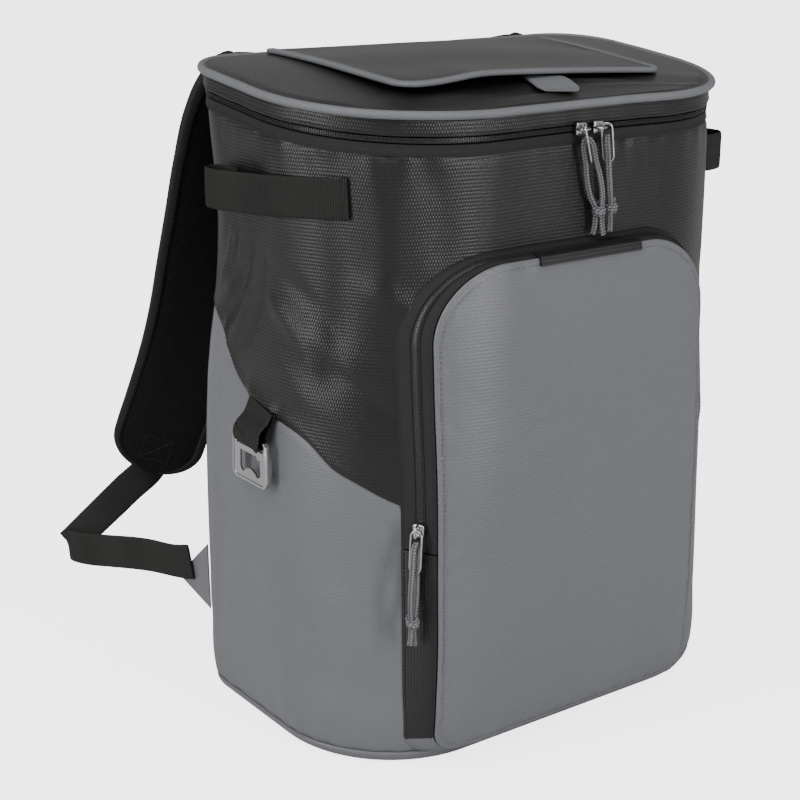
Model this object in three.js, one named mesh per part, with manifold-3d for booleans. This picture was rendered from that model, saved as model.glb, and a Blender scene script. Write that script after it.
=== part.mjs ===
// Soft-sided cooler backpack with a zipped lid, a zipped front pocket, side handles,
// padded shoulder straps and a bottle opener. Lengths are in mm, the front is -Y, up is +Z,
// and the origin is on the floor under the middle of the bag.
import * as THREE from 'three';
import { mergeVertices } from 'three/addons/utils/BufferGeometryUtils.js';
import Module from 'manifold-3d';

const wasm = await Module();
wasm.setup();

// Driving sizes
const WIDTH = 350;
const DEPTH = 205;
const HEIGHT = 432;
const WALL = 6;
const BASE_HEIGHT = 9;
const GAP = 0.35;
const PIPING = 2.6;
const WEBBING = 25.4;
const WEBBING_THICK = 1.6;
const OPENER_WEBBING = 30;
const CORD = 3.6;
const WIRE = 1.5;
const FLAP_THICK = 2.4;
const BINDING = 5.5;
const PAD_WIDTH = 72;
const PAD_THICK = 11;
const PAD_BINDING = 7;
const OPENER = { width: 42, height: 31, plate: 1.6, rim: 3, bar: 1.6, slotHalf: 16.6, slotDeep: 5.6 };

const X = WIDTH / 2;
const Y = DEPTH / 2;
const Z = HEIGHT;

// Colours, roughness and metalness of each material
const LOOKS = {
  dark_coated: { color: 0x3e403d, roughness: 0.5, metalness: 0 },
  gray_coated: { color: 0x7a7c80, roughness: 0.5, metalness: 0 },
  gray_trim: { color: 0x787a7e, roughness: 0.65, metalness: 0 },
  zip_tape: { color: 0x1c1d1d, roughness: 0.85, metalness: 0 },
  zip_teeth: { color: 0x161616, roughness: 0.45, metalness: 0 },
  webbing: { color: 0x302f2d, roughness: 0.85, metalness: 0 },
  mesh: { color: 0x121212, roughness: 0.95, metalness: 0 },
  binding: { color: 0x323230, roughness: 0.85, metalness: 0 },
  plastic: { color: 0x141414, roughness: 0.4, metalness: 0 },
  metal: { color: 0xc9cbcd, roughness: 0.2, metalness: 1 },
  cord: { color: 0x78787d, roughness: 0.9, metalness: 0 },
};

// Body sections: height, half width, front, back, front radius, back radius, as shares
const SECTIONS = [
  { z: 0, half: 0.966, front: -0.956, back: 0.956, frontR: 0.48, backR: 0.149 },
  { z: 0.028, half: 0.983, front: -0.985, back: 0.985, frontR: 0.503, backR: 0.171 },
  { z: 0.139, half: 0.989, front: -0.995, back: 1.005, frontR: 0.526, backR: 0.177 },
  { z: 0.301, half: 0.989, front: -0.995, back: 1.024, frontR: 0.543, backR: 0.183 },
  { z: 0.463, half: 0.983, front: -0.995, back: 1.024, frontR: 0.554, backR: 0.194 },
  { z: 0.579, half: 0.971, front: -0.976, back: 0.995, frontR: 0.56, backR: 0.206 },
  { z: 0.694, half: 0.954, front: -0.976, back: 0.927, frontR: 0.566, backR: 0.217 },
  { z: 0.81, half: 0.954, front: -0.976, back: 0.898, frontR: 0.571, backR: 0.229 },
  { z: 0.926, half: 0.966, front: -0.976, back: 0.946, frontR: 0.6, backR: 0.24 },
  { z: 1.05, half: 0.971, front: -0.976, back: 0.976, frontR: 0.611, backR: 0.24 },
];

// Height of the seam between the dark and the gray fabric along the side, as shares
const SEAM = [
  { y: -0.87, z: 0.41 },
  { y: -0.775, z: 0.427 },
  { y: -0.657, z: 0.447 },
  { y: -0.54, z: 0.463 },
  { y: -0.374, z: 0.497 },
  { y: -0.137, z: 0.518 },
  { y: 0.052, z: 0.5265 },
  { y: 0.175, z: 0.534 },
  { y: 0.427, z: 0.568 },
  { y: 0.552, z: 0.6 },
  { y: 0.611, z: 0.617 },
  { y: 0.74, z: 0.64 },
  { y: 0.88, z: 0.655 },
  { y: 1, z: 0.66 },
];

const V = (x, y, z) => new THREE.Vector3(x, y, z);
const lerp = THREE.MathUtils.lerp;
const clamp = THREE.MathUtils.clamp;

// Straight-line value of a table's column at a key
function look(table, key, column, at) {
  const last = table.length - 1;
  let i = 0;
  while (i < last - 1 && table[i + 1][key] < at) i += 1;
  const t = clamp((at - table[i][key]) / (table[i + 1][key] - table[i][key]), 0, 1);
  return lerp(table[i][column], table[i + 1][column], t);
}

// Body section at a height, in mm, grown outward by an amount
function sectionAt(z, grow = 0) {
  const share = z / Z;
  return {
    half: look(SECTIONS, 'z', 'half', share) * X + grow,
    front: look(SECTIONS, 'z', 'front', share) * Y - grow,
    back: look(SECTIONS, 'z', 'back', share) * Y + grow,
    frontR: look(SECTIONS, 'z', 'frontR', share) * X + grow,
    backR: look(SECTIONS, 'z', 'backR', share) * X + grow,
  };
}

// Columns round the outline from the back middle by the left side to the front and round again
const COUNT_BACK = 3;
const COUNT_BACK_CORNER = 4;
const COUNT_SIDE = 7;
const COUNT_FRONT_CORNER = 8;
const COUNT_FRONT = 3;
const COUNT_HALF = COUNT_BACK + COUNT_BACK_CORNER + COUNT_SIDE + COUNT_FRONT_CORNER + COUNT_FRONT;
const COUNT_ALL = 2 * COUNT_HALF;

function halfOutline({ half, front, back, frontR, backR }) {
  const points = [];
  for (let i = 0; i < COUNT_BACK; i += 1) {
    points.push([-(half - backR) * (i / COUNT_BACK), back]);
  }
  for (let i = 0; i < COUNT_BACK_CORNER; i += 1) {
    const a = (Math.PI / 2) * (i / COUNT_BACK_CORNER);
    points.push([-(half - backR) - backR * Math.sin(a), back - backR + backR * Math.cos(a)]);
  }
  for (let i = 0; i < COUNT_SIDE; i += 1) {
    points.push([-half, lerp(back - backR, front + frontR, i / COUNT_SIDE)]);
  }
  for (let i = 0; i < COUNT_FRONT_CORNER; i += 1) {
    const a = (Math.PI / 2) * (i / COUNT_FRONT_CORNER);
    points.push([-(half - frontR) - frontR * Math.cos(a), front + frontR - frontR * Math.sin(a)]);
  }
  for (let i = 0; i <= COUNT_FRONT; i += 1) {
    points.push([-(half - frontR) * (1 - i / COUNT_FRONT), front]);
  }
  return points;
}

// Point of the body's outline at a column, which may lie between two, and a height
function outlinePoint(column, z, grow = 0) {
  const half = halfOutline(sectionAt(z, grow));
  const pick = (i) => {
    const c = ((i % COUNT_ALL) + COUNT_ALL) % COUNT_ALL;
    return c <= COUNT_HALF ? half[c] : [-half[COUNT_ALL - c][0], half[COUNT_ALL - c][1]];
  };
  const low = Math.floor(column);
  const a = pick(low);
  const b = pick(low + 1);
  const t = column - low;
  return V(lerp(a[0], b[0], t), lerp(a[1], b[1], t), z);
}

// Y of the front or the back wall's outer face at an x and a height
function wallY(x, z, side) {
  const s = sectionAt(z);
  const r = side < 0 ? s.frontR : s.backR;
  const over = Math.max(0, Math.abs(x) - (s.half - r));
  const face = side < 0 ? s.front : s.back;
  return face - side * (r - Math.sqrt(Math.max(0, r * r - over * over)));
}

// Height of the lid's rim, which rises to the back, sags in the back's middle and is a
// little lower at the ends
const RIM_SAG = 6;

function rimHeight(x, y) {
  const sag = RIM_SAG * Math.max(0, y / Y) ** 2 * (1 - (x / X) ** 2);
  return Z * (1 + 0.0282 * (y / Y) - 0.009 * (x / X) ** 2) - sag;
}

// Height of the rim over a column of the outline
const rimOf = (column) => {
  const p = outlinePoint(column, Z);
  return rimHeight(p.x, p.y);
};

const seamHeight = (y) => look(SEAM, 'y', 'z', y / Y) * Z;

const gapOf = (p, q) => Math.hypot(p[0] - q[0], p[1] - q[1], p[2] - q[2]);

// Closed body from cross-sections that all have the same number of points
function skin(rows, closed = false) {
  const n = rows.length;
  const m = rows[0].length;
  const points = rows.flat().map((p) => p.toArray());
  const faces = [];
  for (let i = 0; i < (closed ? n : n - 1); i += 1) {
    const next = (i + 1) % n;
    for (let j = 0; j < m; j += 1) {
      const [a, b, c, d] = [i * m + j, next * m + j, next * m + ((j + 1) % m), i * m + ((j + 1) % m)];
      const short = gapOf(points[a], points[c]) <= gapOf(points[b], points[d]);
      faces.push(...(short ? [[a, b, c], [a, c, d]] : [[a, b, d], [b, c, d]]));
    }
  }
  if (!closed) {
    for (const end of [0, n - 1]) {
      const middle = rows[end].reduce((sum, p) => sum.add(p), V(0, 0, 0)).divideScalar(m);
      const hub = points.push(middle.toArray()) - 1;
      for (let j = 0; j < m; j += 1) {
        const pair = [end * m + j, end * m + ((j + 1) % m)];
        faces.push(end === 0 ? [pair[0], pair[1], hub] : [pair[1], pair[0], hub]);
      }
    }
  }
  let volume = 0;
  for (const [a, b, c] of faces) {
    volume += V(...points[a]).dot(V(...points[b]).cross(V(...points[c])));
  }
  const turned = volume < 0 ? faces.map(([a, b, c]) => [a, c, b]) : faces;
  const geometry = new THREE.BufferGeometry();
  geometry.setAttribute('position', new THREE.Float32BufferAttribute(points.flat(), 3));
  geometry.setIndex(turned.flat());
  return geometry;
}

// Booleans on closed geometries
function toSolid(geometry) {
  const bare = geometry.clone();
  bare.deleteAttribute('normal');
  bare.deleteAttribute('uv');
  const merged = mergeVertices(bare, 1e-4);
  return new wasm.Manifold(new wasm.Mesh({
    numProp: 3,
    vertProperties: Float32Array.from(merged.attributes.position.array),
    triVerts: Uint32Array.from(merged.index.array),
  }));
}

function toGeometry(solid) {
  const mesh = solid.getMesh();
  const geometry = new THREE.BufferGeometry();
  geometry.setAttribute('position', new THREE.Float32BufferAttribute(mesh.vertProperties, 3));
  geometry.setIndex(Array.from(mesh.triVerts));
  return geometry;
}

function piece(name, slot, geometry) {
  geometry.computeVertexNormals();
  const mesh = new THREE.Mesh(geometry, new THREE.MeshStandardMaterial({ ...LOOKS[slot], name: slot }));
  mesh.name = name;
  return mesh;
}

function group(...pieces) {
  const made = new THREE.Group();
  made.add(...pieces);
  return made;
}

// Wall round the body between two heights that follow the column, hollow inside
function wall(columns, low, high, levels, outer, inner, closed = true) {
  const rows = columns.map((c) => {
    const face = (grow, k) => outlinePoint(c, lerp(low(c), high(c), k / levels), grow);
    const row = [];
    for (let k = 0; k <= levels; k += 1) row.push(face(outer, k));
    for (let k = levels; k >= 0; k -= 1) row.push(face(inner, k));
    return row;
  });
  return skin(rows, closed);
}

const allColumns = Array.from({ length: COUNT_ALL }, (_, i) => i);

function body() {
  const top = (c) => rimOf(c) - 25.6;
  const seam = (c) => seamHeight(outlinePoint(c, Z * 0.5).y);
  const lower = wall(allColumns, () => BASE_HEIGHT + GAP, seam, 5, 0, -WALL);
  const upper = wall(allColumns, (c) => seam(c) + 2 * GAP, top, 5, 0, -WALL);
  const ring = (z, grow) => allColumns.map((c) => outlinePoint(c, z, grow));
  const base = skin([
    ring(0, -7),
    ring(1.5, -2.4),
    ring(4.5, -0.4),
    ring(BASE_HEIGHT, 0),
    ring(BASE_HEIGHT, -WALL),
  ]);
  return group(
    piece('body_lower', 'gray_coated', lower),
    piece('body_upper', 'dark_coated', upper),
    piece('base_panel', 'gray_coated', base),
  );
}

// Ring of the lid: heights are taken down from the rim
function lidRing(columns, from, to, outer, inner, closed) {
  const rows = columns.map((c) => {
    const at = (drop, grow) => outlinePoint(c, Z, grow).setZ(rimOf(c) - drop);
    return [at(to, outer), at(from, outer), at(from, inner), at(to, inner)];
  });
  return skin(rows, closed);
}

// Top face of the lid, which bulges a little toward its front
function lidTop(x, y) {
  const dome = 3 * (1 - (x / X) ** 2) * (1 - Math.abs(y / Y) ** 2.6);
  return rimHeight(x, y) + 1.6 + Math.max(0, dome);
}

function lid() {
  const zipEnd = 3;
  const between = allColumns.slice(zipEnd + 1, COUNT_ALL - zipEnd);
  const zipColumns = [zipEnd + 0.01, ...between, COUNT_ALL - zipEnd - 0.01];
  const hingeColumns = [-zipEnd, -2, -1, 0, 1, 2, zipEnd].map((c) => c * 0.998);
  const tape = lidRing(zipColumns, 17.5, 25.2, 0.5, -2.2, false);
  const teeth = lidRing(zipColumns, 13.4, 17.1, 1.2, -1.6, false);
  const hinge = lidRing(hingeColumns, 13.4, 25.2, 0.5, -2.2, false);
  const rim = lidRing(allColumns, 3.4, 13, 1.8, -1.6, true);
  const piping = skin(allColumns.map((c) => {
    const row = [];
    for (let k = 0; k < 5; k += 1) {
      const a = (2 * Math.PI * k) / 5;
      const z = rimOf(c) - 0.5 + PIPING * Math.sin(a);
      row.push(outlinePoint(c, Z, 3.1 + PIPING * Math.cos(a)).setZ(z));
    }
    return row;
  }), true);
  const face = (share, under) => allColumns.map((c) => {
    const p = outlinePoint(c, Z, 0.1).multiplyScalar(share);
    return p.setZ(lidTop(p.x, p.y) - under);
  });
  const top = [0.15, 0.38, 0.6, 0.78, 0.92, 1].map((s) => face(s, 0));
  const under = [1, 0.15].map((s) => face(s, 4.5));
  return group(
    piece('lid_zip_tape', 'zip_tape', tape),
    piece('lid_zip_teeth', 'zip_teeth', teeth),
    piece('lid_hinge', 'dark_coated', hinge),
    piece('lid_band', 'dark_coated', rim),
    piece('lid_piping', 'gray_trim', piping),
    piece('lid_panel', 'dark_coated', skin([...top, ...under])),
    lidFlap(),
  );
}

// Flat band along a path: each row is a middle point, the width's direction and the width
function band(rows, thick) {
  const middle = rows.map((r) => r.at);
  return skin(rows.map((r, i) => {
    const ahead = middle[Math.min(i + 1, rows.length - 1)];
    const behind = middle[Math.max(i - 1, 0)];
    const along = ahead.clone().sub(behind).normalize();
    const side = r.side.clone().normalize();
    const up = along.clone().cross(side).normalize();
    const corner = (s, t) => r.at.clone()
      .addScaledVector(side, s * r.width / 2)
      .addScaledVector(up, t * thick / 2);
    return [corner(-1, -1), corner(1, -1), corner(1, 1), corner(-1, 1)];
  }));
}

// Smooth path through points, sampled evenly
function smooth(points, steps) {
  return new THREE.CatmullRomCurve3(points, false, 'centripetal').getSpacedPoints(steps);
}

// Round tube along points
function tube(points, diameter, sides, closed = false) {
  const n = points.length;
  let up = V(0, 0, 1);
  return skin(points.map((p, i) => {
    const ahead = closed ? points[(i + 1) % n] : points[Math.min(i + 1, n - 1)];
    const behind = closed ? points[(i + n - 1) % n] : points[Math.max(i - 1, 0)];
    const along = ahead.clone().sub(behind).normalize();
    if (i === 0 && Math.abs(along.z) > 0.8) up = V(0, 1, 0);
    const side = along.clone().cross(up).normalize();
    up = side.clone().cross(along).normalize();
    const row = [];
    for (let k = 0; k < sides; k += 1) {
      const a = (2 * Math.PI * k) / sides;
      const out = side.clone().multiplyScalar(Math.cos(a)).addScaledVector(up, Math.sin(a));
      row.push(p.clone().addScaledVector(out, diameter / 2));
    }
    return row;
  }), closed);
}

// Flap on the lid: half width, front and back are shares, and its front edge is lifted
const FLAP = { half: 0.62, front: -0.585, back: 0.92, corner: 16 };
const FLAP_LIFT = [
  { x: -0.62, lift: 5.5 },
  { x: -0.2, lift: 3.4 },
  { x: 0.1, lift: 2.6 },
  { x: 0.62, lift: 1.5 },
];

function flapPoint(x, y, rise) {
  const share = clamp((FLAP.back * Y - y) / ((FLAP.back - FLAP.front) * Y), 0, 1);
  const lift = look(FLAP_LIFT, 'x', 'lift', x / X) * share ** 2;
  return V(x, y, lidTop(x, y) + 2 * GAP + lift + rise);
}

// Edge of the flap from its back left round the front to its back right
function flapEdge(inset) {
  const half = FLAP.half * X - inset;
  const front = FLAP.front * Y + inset;
  const r = FLAP.corner - inset;
  const points = [];
  for (let i = 0; i < 5; i += 1) points.push([-half, lerp(FLAP.back * Y, front + r, i / 5)]);
  for (let i = 0; i < 4; i += 1) {
    const a = (Math.PI / 2) * (i / 4);
    points.push([-half + r - r * Math.cos(a), front + r - r * Math.sin(a)]);
  }
  for (let i = 0; i < 4; i += 1) points.push([lerp(-half + r, 0, i / 4), front]);
  const mirrored = points.map(([x, y]) => [-x, y]).reverse();
  return [...points, [0, front], ...mirrored];
}

function lidFlap() {
  const inner = flapEdge(BINDING + GAP);
  const [left, right] = [inner[0], inner[inner.length - 1]];
  for (const t of [0.25, 0.5, 0.75]) inner.push([lerp(right[0], left[0], t), left[1]]);
  const hub = (FLAP.front + FLAP.back) * Y / 2;
  const face = (share, rise) => inner.map(([x, y]) => flapPoint(x * share, lerp(hub, y, share), rise));
  const shares = [0.2, 0.5, 0.8, 1];
  const cloth = skin([
    ...shares.map((s) => face(s, FLAP_THICK)),
    ...shares.map((s) => face(s, 0)).reverse(),
  ]);
  const outer = flapEdge(0);
  const edge = flapEdge(BINDING);
  const binding = skin(outer.map(([x, y], i) => {
    const [u, v] = edge[i];
    return [
      flapPoint(lerp(x, u, 0.15), lerp(y, v, 0.15), FLAP_THICK + 0.5),
      flapPoint(x, y, FLAP_THICK * 0.5),
      flapPoint(lerp(x, u, 0.15), lerp(y, v, 0.15), 0),
      flapPoint(u, v, 0),
      flapPoint(u, v, FLAP_THICK + 0.5),
    ];
  }));
  const tab = [0, 0.35, 0.7, 1].map((t) => {
    const x = lerp(5, -7, t);
    const y = FLAP.front * Y + 5 - 31 * t;
    const z = lidTop(x, y) + lerp(1.6, 2, t);
    return { at: V(x, y, z), side: V(1, -0.12, 0), width: t === 1 ? 23 : 28 };
  });
  return group(
    piece('lid_flap', 'dark_coated', cloth),
    piece('flap_binding', 'gray_trim', binding),
    piece('flap_tab', 'gray_trim', band(tab, 2)),
  );
}

// Pocket outline as shares, on the body and at the panel's edge. Its middle lies a little
// to the left of the bag's.
const POCKET = {
  body: { half: 0.675, top: 0.778, bottom: 0.0235, topR: 56, bottomR: 14 },
  panel: { half: 0.6125, top: 0.766, bottom: 0.034, topR: 48, bottomR: 14 },
  shift: -0.064,
  gussetTop: 0.352,
  depthSide: 19.5,
  depthTop: 14,
  depthBottom: 12,
  topReach: 60,
  bottomReach: 90,
  bulge: 3,
  panelThick: 2.5,
};

// Half of the pocket's outline, from the bottom middle by the left side to the top middle
function pocketHalf({ half, top, bottom, topR, bottomR }) {
  const a = half * X;
  const low = bottom * Z;
  const high = top * Z;
  const middle = POCKET.gussetTop * Z;
  const points = [];
  for (const share of [0, 0.38, 0.66, 0.78, 0.89]) points.push([-(a - bottomR) * share, low]);
  for (let i = 0; i < 3; i += 1) {
    const t = (Math.PI / 2) * (i / 3);
    points.push([-(a - bottomR) - bottomR * Math.sin(t), low + bottomR - bottomR * Math.cos(t)]);
  }
  for (let i = 0; i < 3; i += 1) points.push([-a, lerp(low + bottomR, middle, i / 3)]);
  for (let i = 0; i < 3; i += 1) points.push([-a, lerp(middle, high - topR, i / 3)]);
  for (let i = 0; i < 7; i += 1) {
    const t = (Math.PI / 2) * (i / 7);
    points.push([-a + topR - topR * Math.cos(t), high - topR + topR * Math.sin(t)]);
  }
  for (let i = 0; i <= 4; i += 1) points.push([-(a - topR) * (1 - i / 4), high]);
  return points;
}

const COUNT_POCKET = 25;
const POCKET_INDEX = { bottom: 7.5, gusset: 11 };

// Point of the pocket's outline at an index, which may lie between two
function pocketPoint(shape, index) {
  const half = pocketHalf(shape);
  const total = 2 * COUNT_POCKET;
  const pick = (i) => {
    const c = ((i % total) + total) % total;
    const [x, z] = half[c <= COUNT_POCKET ? c : total - c];
    return [POCKET.shift * X + (c <= COUNT_POCKET ? x : -x), z];
  };
  const low = Math.floor(index);
  const a = pick(low);
  const b = pick(low + 1);
  return [lerp(a[0], b[0], index - low), lerp(a[1], b[1], index - low)];
}

// How far the pocket's front edge stands off the body at a height
function pocketDepth(z) {
  const { body: b, depthSide, depthTop, depthBottom, topReach, bottomReach } = POCKET;
  const toTop = clamp((z - b.top * Z + topReach) / topReach, 0, 1);
  const toBottom = clamp((b.bottom * Z + bottomReach - z) / bottomReach, 0, 1);
  return depthSide - (depthSide - depthTop) * toTop ** 2 - (depthSide - depthBottom) * toBottom ** 2;
}

// Place on the pocket's side between the body (0) and the panel's edge (1)
function gussetPoint(index, across, out) {
  const place = (i) => {
    const [bx, bz] = pocketPoint(POCKET.body, i);
    const [px, pz] = pocketPoint(POCKET.panel, i);
    const on = V(bx, wallY(bx, bz, -1) - GAP, bz);
    const edge = V(px, wallY(px, pz, -1) - pocketDepth(pz) + POCKET.panelThick + GAP, pz);
    return [on, edge];
  };
  const [on, edge] = place(index);
  const behind = place(index - 0.3);
  const ahead = place(index + 0.3);
  const along = ahead[0].clone().add(ahead[1]).sub(behind[0]).sub(behind[1]);
  const normal = edge.clone().sub(on).cross(along).normalize();
  const p = on.lerp(edge, across).addScaledVector(normal, out);
  return p.setY(Math.min(p.y, wallY(p.x, p.z, -1) - GAP));
}

function gussetBand(from, to, low, high, outer, inner) {
  const list = [from];
  for (let i = Math.floor(from) + 1; i < to - 1e-6; i += 1) list.push(i);
  list.push(to);
  return skin(list.map((i) => [
    gussetPoint(i, low, outer),
    gussetPoint(i, high, outer),
    gussetPoint(i, high, -inner),
    gussetPoint(i, low, -inner),
  ]));
}

function pocket() {
  const total = 2 * COUNT_POCKET;
  const { bottom, gusset } = POCKET_INDEX;
  const slit = 0.012;
  const below = gussetBand(-bottom + slit, bottom - slit, 0, 1, 0, 2.2);
  const left = gussetBand(bottom + slit, gusset - slit, 0, 1, 0.3, 2.2);
  const right = gussetBand(total - gusset + slit, total - bottom - slit, 0, 1, 0.3, 2.2);
  const zip = (low, high, outer, inner) => {
    const reach = gusset + slit;
    return gussetBand(reach, total - reach, low, high, outer, inner);
  };
  const middle = (POCKET.panel.top + POCKET.panel.bottom) * Z / 2;
  const face = (share, behind) => {
    const ring = [];
    for (let i = 0; i < total; i += 1) {
      const [x, z] = pocketPoint(POCKET.panel, i);
      const px = lerp(POCKET.shift * X, x, share);
      const pz = lerp(middle, z, share);
      const off = lerp(POCKET.depthSide + POCKET.bulge, pocketDepth(z), share ** 4);
      ring.push(V(px, wallY(px, pz, -1) - off + behind, pz));
    }
    return ring;
  };
  const shares = [0.25, 0.6, 0.85, 0.97];
  const rim = (behind) => face(1, behind);
  const panel = skin([
    ...shares.map((s) => face(s, 0)),
    rim(0.8),
    rim(POCKET.panelThick),
    ...[0.85, 0.25].map((s) => face(s, POCKET.panelThick)),
  ]);
  const strip = [];
  for (let i = 0; i <= 7; i += 1) {
    const index = lerp(22.65, 28.3, i / 7);
    const [x, z] = pocketPoint(POCKET.panel, index);
    const y = wallY(x, z, -1) - pocketDepth(z) - GAP - 0.35;
    strip.push([
      gussetPoint(index, 0.71, GAP + 1.2),
      gussetPoint(index, 1, GAP + 1.2),
      V(x, y - 1, z + 1.4),
      V(x, y - 2.4, z - 4.5),
      V(x, y - 1.6, z - 4.5),
      V(x, y, z + GAP),
      gussetPoint(index, 1, GAP),
      gussetPoint(index, 0.71, GAP),
    ]);
  }
  return group(
    piece('pocket_bottom', 'gray_coated', below),
    piece('pocket_gusset_left', 'dark_coated', left),
    piece('pocket_gusset_right', 'dark_coated', right),
    piece('pocket_zip_outer_tape', 'zip_tape', zip(0, 0.4, 0, 2)),
    piece('pocket_zip_teeth', 'zip_teeth', zip(0.415, 0.685, 0.9, 1.8)),
    piece('pocket_zip_inner_tape', 'zip_tape', zip(0.7, 1, 0, 2)),
    piece('pocket_panel', 'gray_coated', panel),
    piece('pocket_top_strip', 'dark_coated', skin(strip)),
  );
}

// Side handle: webbing sewn on the front corner, bowed out, and folded in at the back.
// Shares of half the width and half the depth, seen from above. The right handle stands
// out more near its front end.
const HANDLE_END = [
  { x: 1.046, y: 0.42 },
  { x: 1.038, y: 0.505 },
  { x: 1.002, y: 0.535 },
  { x: 0.972, y: 0.48 },
  { x: 0.9665, y: 0.38 },
  { x: 0.9665, y: 0.28 },
];
const HANDLE_LEFT = [
  { x: 0.862, y: -0.6 },
  { x: 0.909, y: -0.475 },
  { x: 0.95, y: -0.335 },
  { x: 0.978, y: -0.2 },
  { x: 1.005, y: 0.02 },
  { x: 1.032, y: 0.25 },
  ...HANDLE_END,
];
const HANDLE_RIGHT = [
  { x: 0.84, y: -0.65 },
  { x: 0.875, y: -0.575 },
  { x: 0.935, y: -0.525 },
  { x: 1.015, y: -0.46 },
  { x: 1.075, y: -0.34 },
  { x: 1.09, y: -0.15 },
  { x: 1.08, y: 0.05 },
  { x: 1.066, y: 0.25 },
  ...HANDLE_END,
];

function handle(name, side, shares, sewn) {
  const path = shares.map((p) => V(side * p.x * X, p.y * Y, 0));
  const steps = 18;
  const rows = smooth(path, steps).map((p, i) => {
    const z = lerp(0.856, 0.846, Math.min(1, i / (0.64 * steps))) * Z;
    const at = V(p.x, p.y, z);
    const s = sectionAt(z, WEBBING_THICK / 2 + GAP + 0.1);
    const cx = s.half - s.frontR;
    const cy = s.front + s.frontR;
    const dx = Math.abs(at.x) - cx;
    const dy = at.y - cy;
    const away = Math.hypot(dx, dy);
    if (dy < 0 && (away < s.frontR || i < sewn * steps)) {
      at.x = -Math.sign(-at.x) * (cx + dx * s.frontR / away);
      at.y = cy + dy * s.frontR / away;
    }
    return { at, side: V(0, 0, 1), width: WEBBING };
  });
  return piece(name, 'webbing', band(rows, WEBBING_THICK));
}

// Shoulder strap: outer edge and direction across the strap, for the left side
const STRAP = [
  { x: -0.726, y: 1.002, z: 0.905, wx: 1, wy: 0, wz: 0 },
  { x: -0.726, y: 1.035, z: 0.955, wx: 1, wy: 0, wz: 0 },
  { x: -0.74, y: 1.13, z: 1.014, wx: 1, wy: 0, wz: 0 },
  { x: -0.754, y: 1.26, z: 1.004, wx: 1, wy: 0, wz: 0 },
  { x: -0.774, y: 1.39, z: 0.969, wx: 1, wy: 0, wz: 0 },
  { x: -0.797, y: 1.5, z: 0.917, wx: 0.99, wy: -0.05, wz: 0 },
  { x: -0.824, y: 1.6, z: 0.835, wx: 0.98, wy: -0.1, wz: -0.02 },
  { x: -0.844, y: 1.69, z: 0.75, wx: 0.97, wy: -0.18, wz: -0.04 },
  { x: -0.856, y: 1.8, z: 0.67, wx: 0.95, wy: -0.25, wz: -0.08 },
  { x: -0.862, y: 1.92, z: 0.59, wx: 0.92, wy: -0.33, wz: -0.12 },
  { x: -0.857, y: 2.16, z: 0.49, wx: 0.88, wy: -0.42, wz: -0.18 },
  { x: -0.857, y: 2.38, z: 0.41, wx: 0.84, wy: -0.48, wz: -0.25 },
  { x: -0.857, y: 2.62, z: 0.325, wx: 0.8, wy: -0.53, wz: -0.28 },
  { x: -0.857, y: 2.8, z: 0.25, wx: 0.8, wy: -0.53, wz: -0.28 },
];

// Frames along the middle of the strap: place, direction along, across and off the face
function strapFrames(mirror) {
  const edge = STRAP.map((r) => V(r.x * X, r.y * Y, r.z * Z));
  const across = STRAP.map((r) => V(r.wx, r.wy, r.wz).normalize());
  const middle = new THREE.CatmullRomCurve3(
    edge.map((p, i) => p.clone().addScaledVector(across[i], PAD_WIDTH / 2)), false, 'centripetal');
  const turn = new THREE.CatmullRomCurve3(across, false, 'centripetal');
  const steps = 200;
  const frames = [];
  let run = 0;
  for (let i = 0; i <= steps; i += 1) {
    const at = middle.getPoint(i / steps);
    const along = middle.getTangent(i / steps);
    const side = turn.getPoint(i / steps);
    side.addScaledVector(along, -side.dot(along)).normalize();
    if (i > 0) run += at.distanceTo(frames[i - 1].raw);
    const flip = (v) => V(v.x * mirror, v.y, v.z);
    const off = side.clone().cross(along).normalize();
    const turned = { at: flip(at), along: flip(along), side: flip(side), off: flip(off) };
    frames.push({ run, raw: at.clone(), ...turned });
  }
  return frames;
}

function frameAt(frames, run) {
  let i = 0;
  while (i < frames.length - 2 && frames[i + 1].run < run) i += 1;
  const t = (run - frames[i].run) / (frames[i + 1].run - frames[i].run);
  const mix = (key) => frames[i][key].clone().lerp(frames[i + 1][key], t);
  return {
    at: mix('at'),
    along: mix('along').normalize(),
    side: mix('side').normalize(),
    off: mix('off').normalize(),
  };
}

const strapPoint = (frames, run, across, off) => {
  const f = frameAt(frames, run);
  return f.at.addScaledVector(f.side, across).addScaledVector(f.off, off);
};

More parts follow.
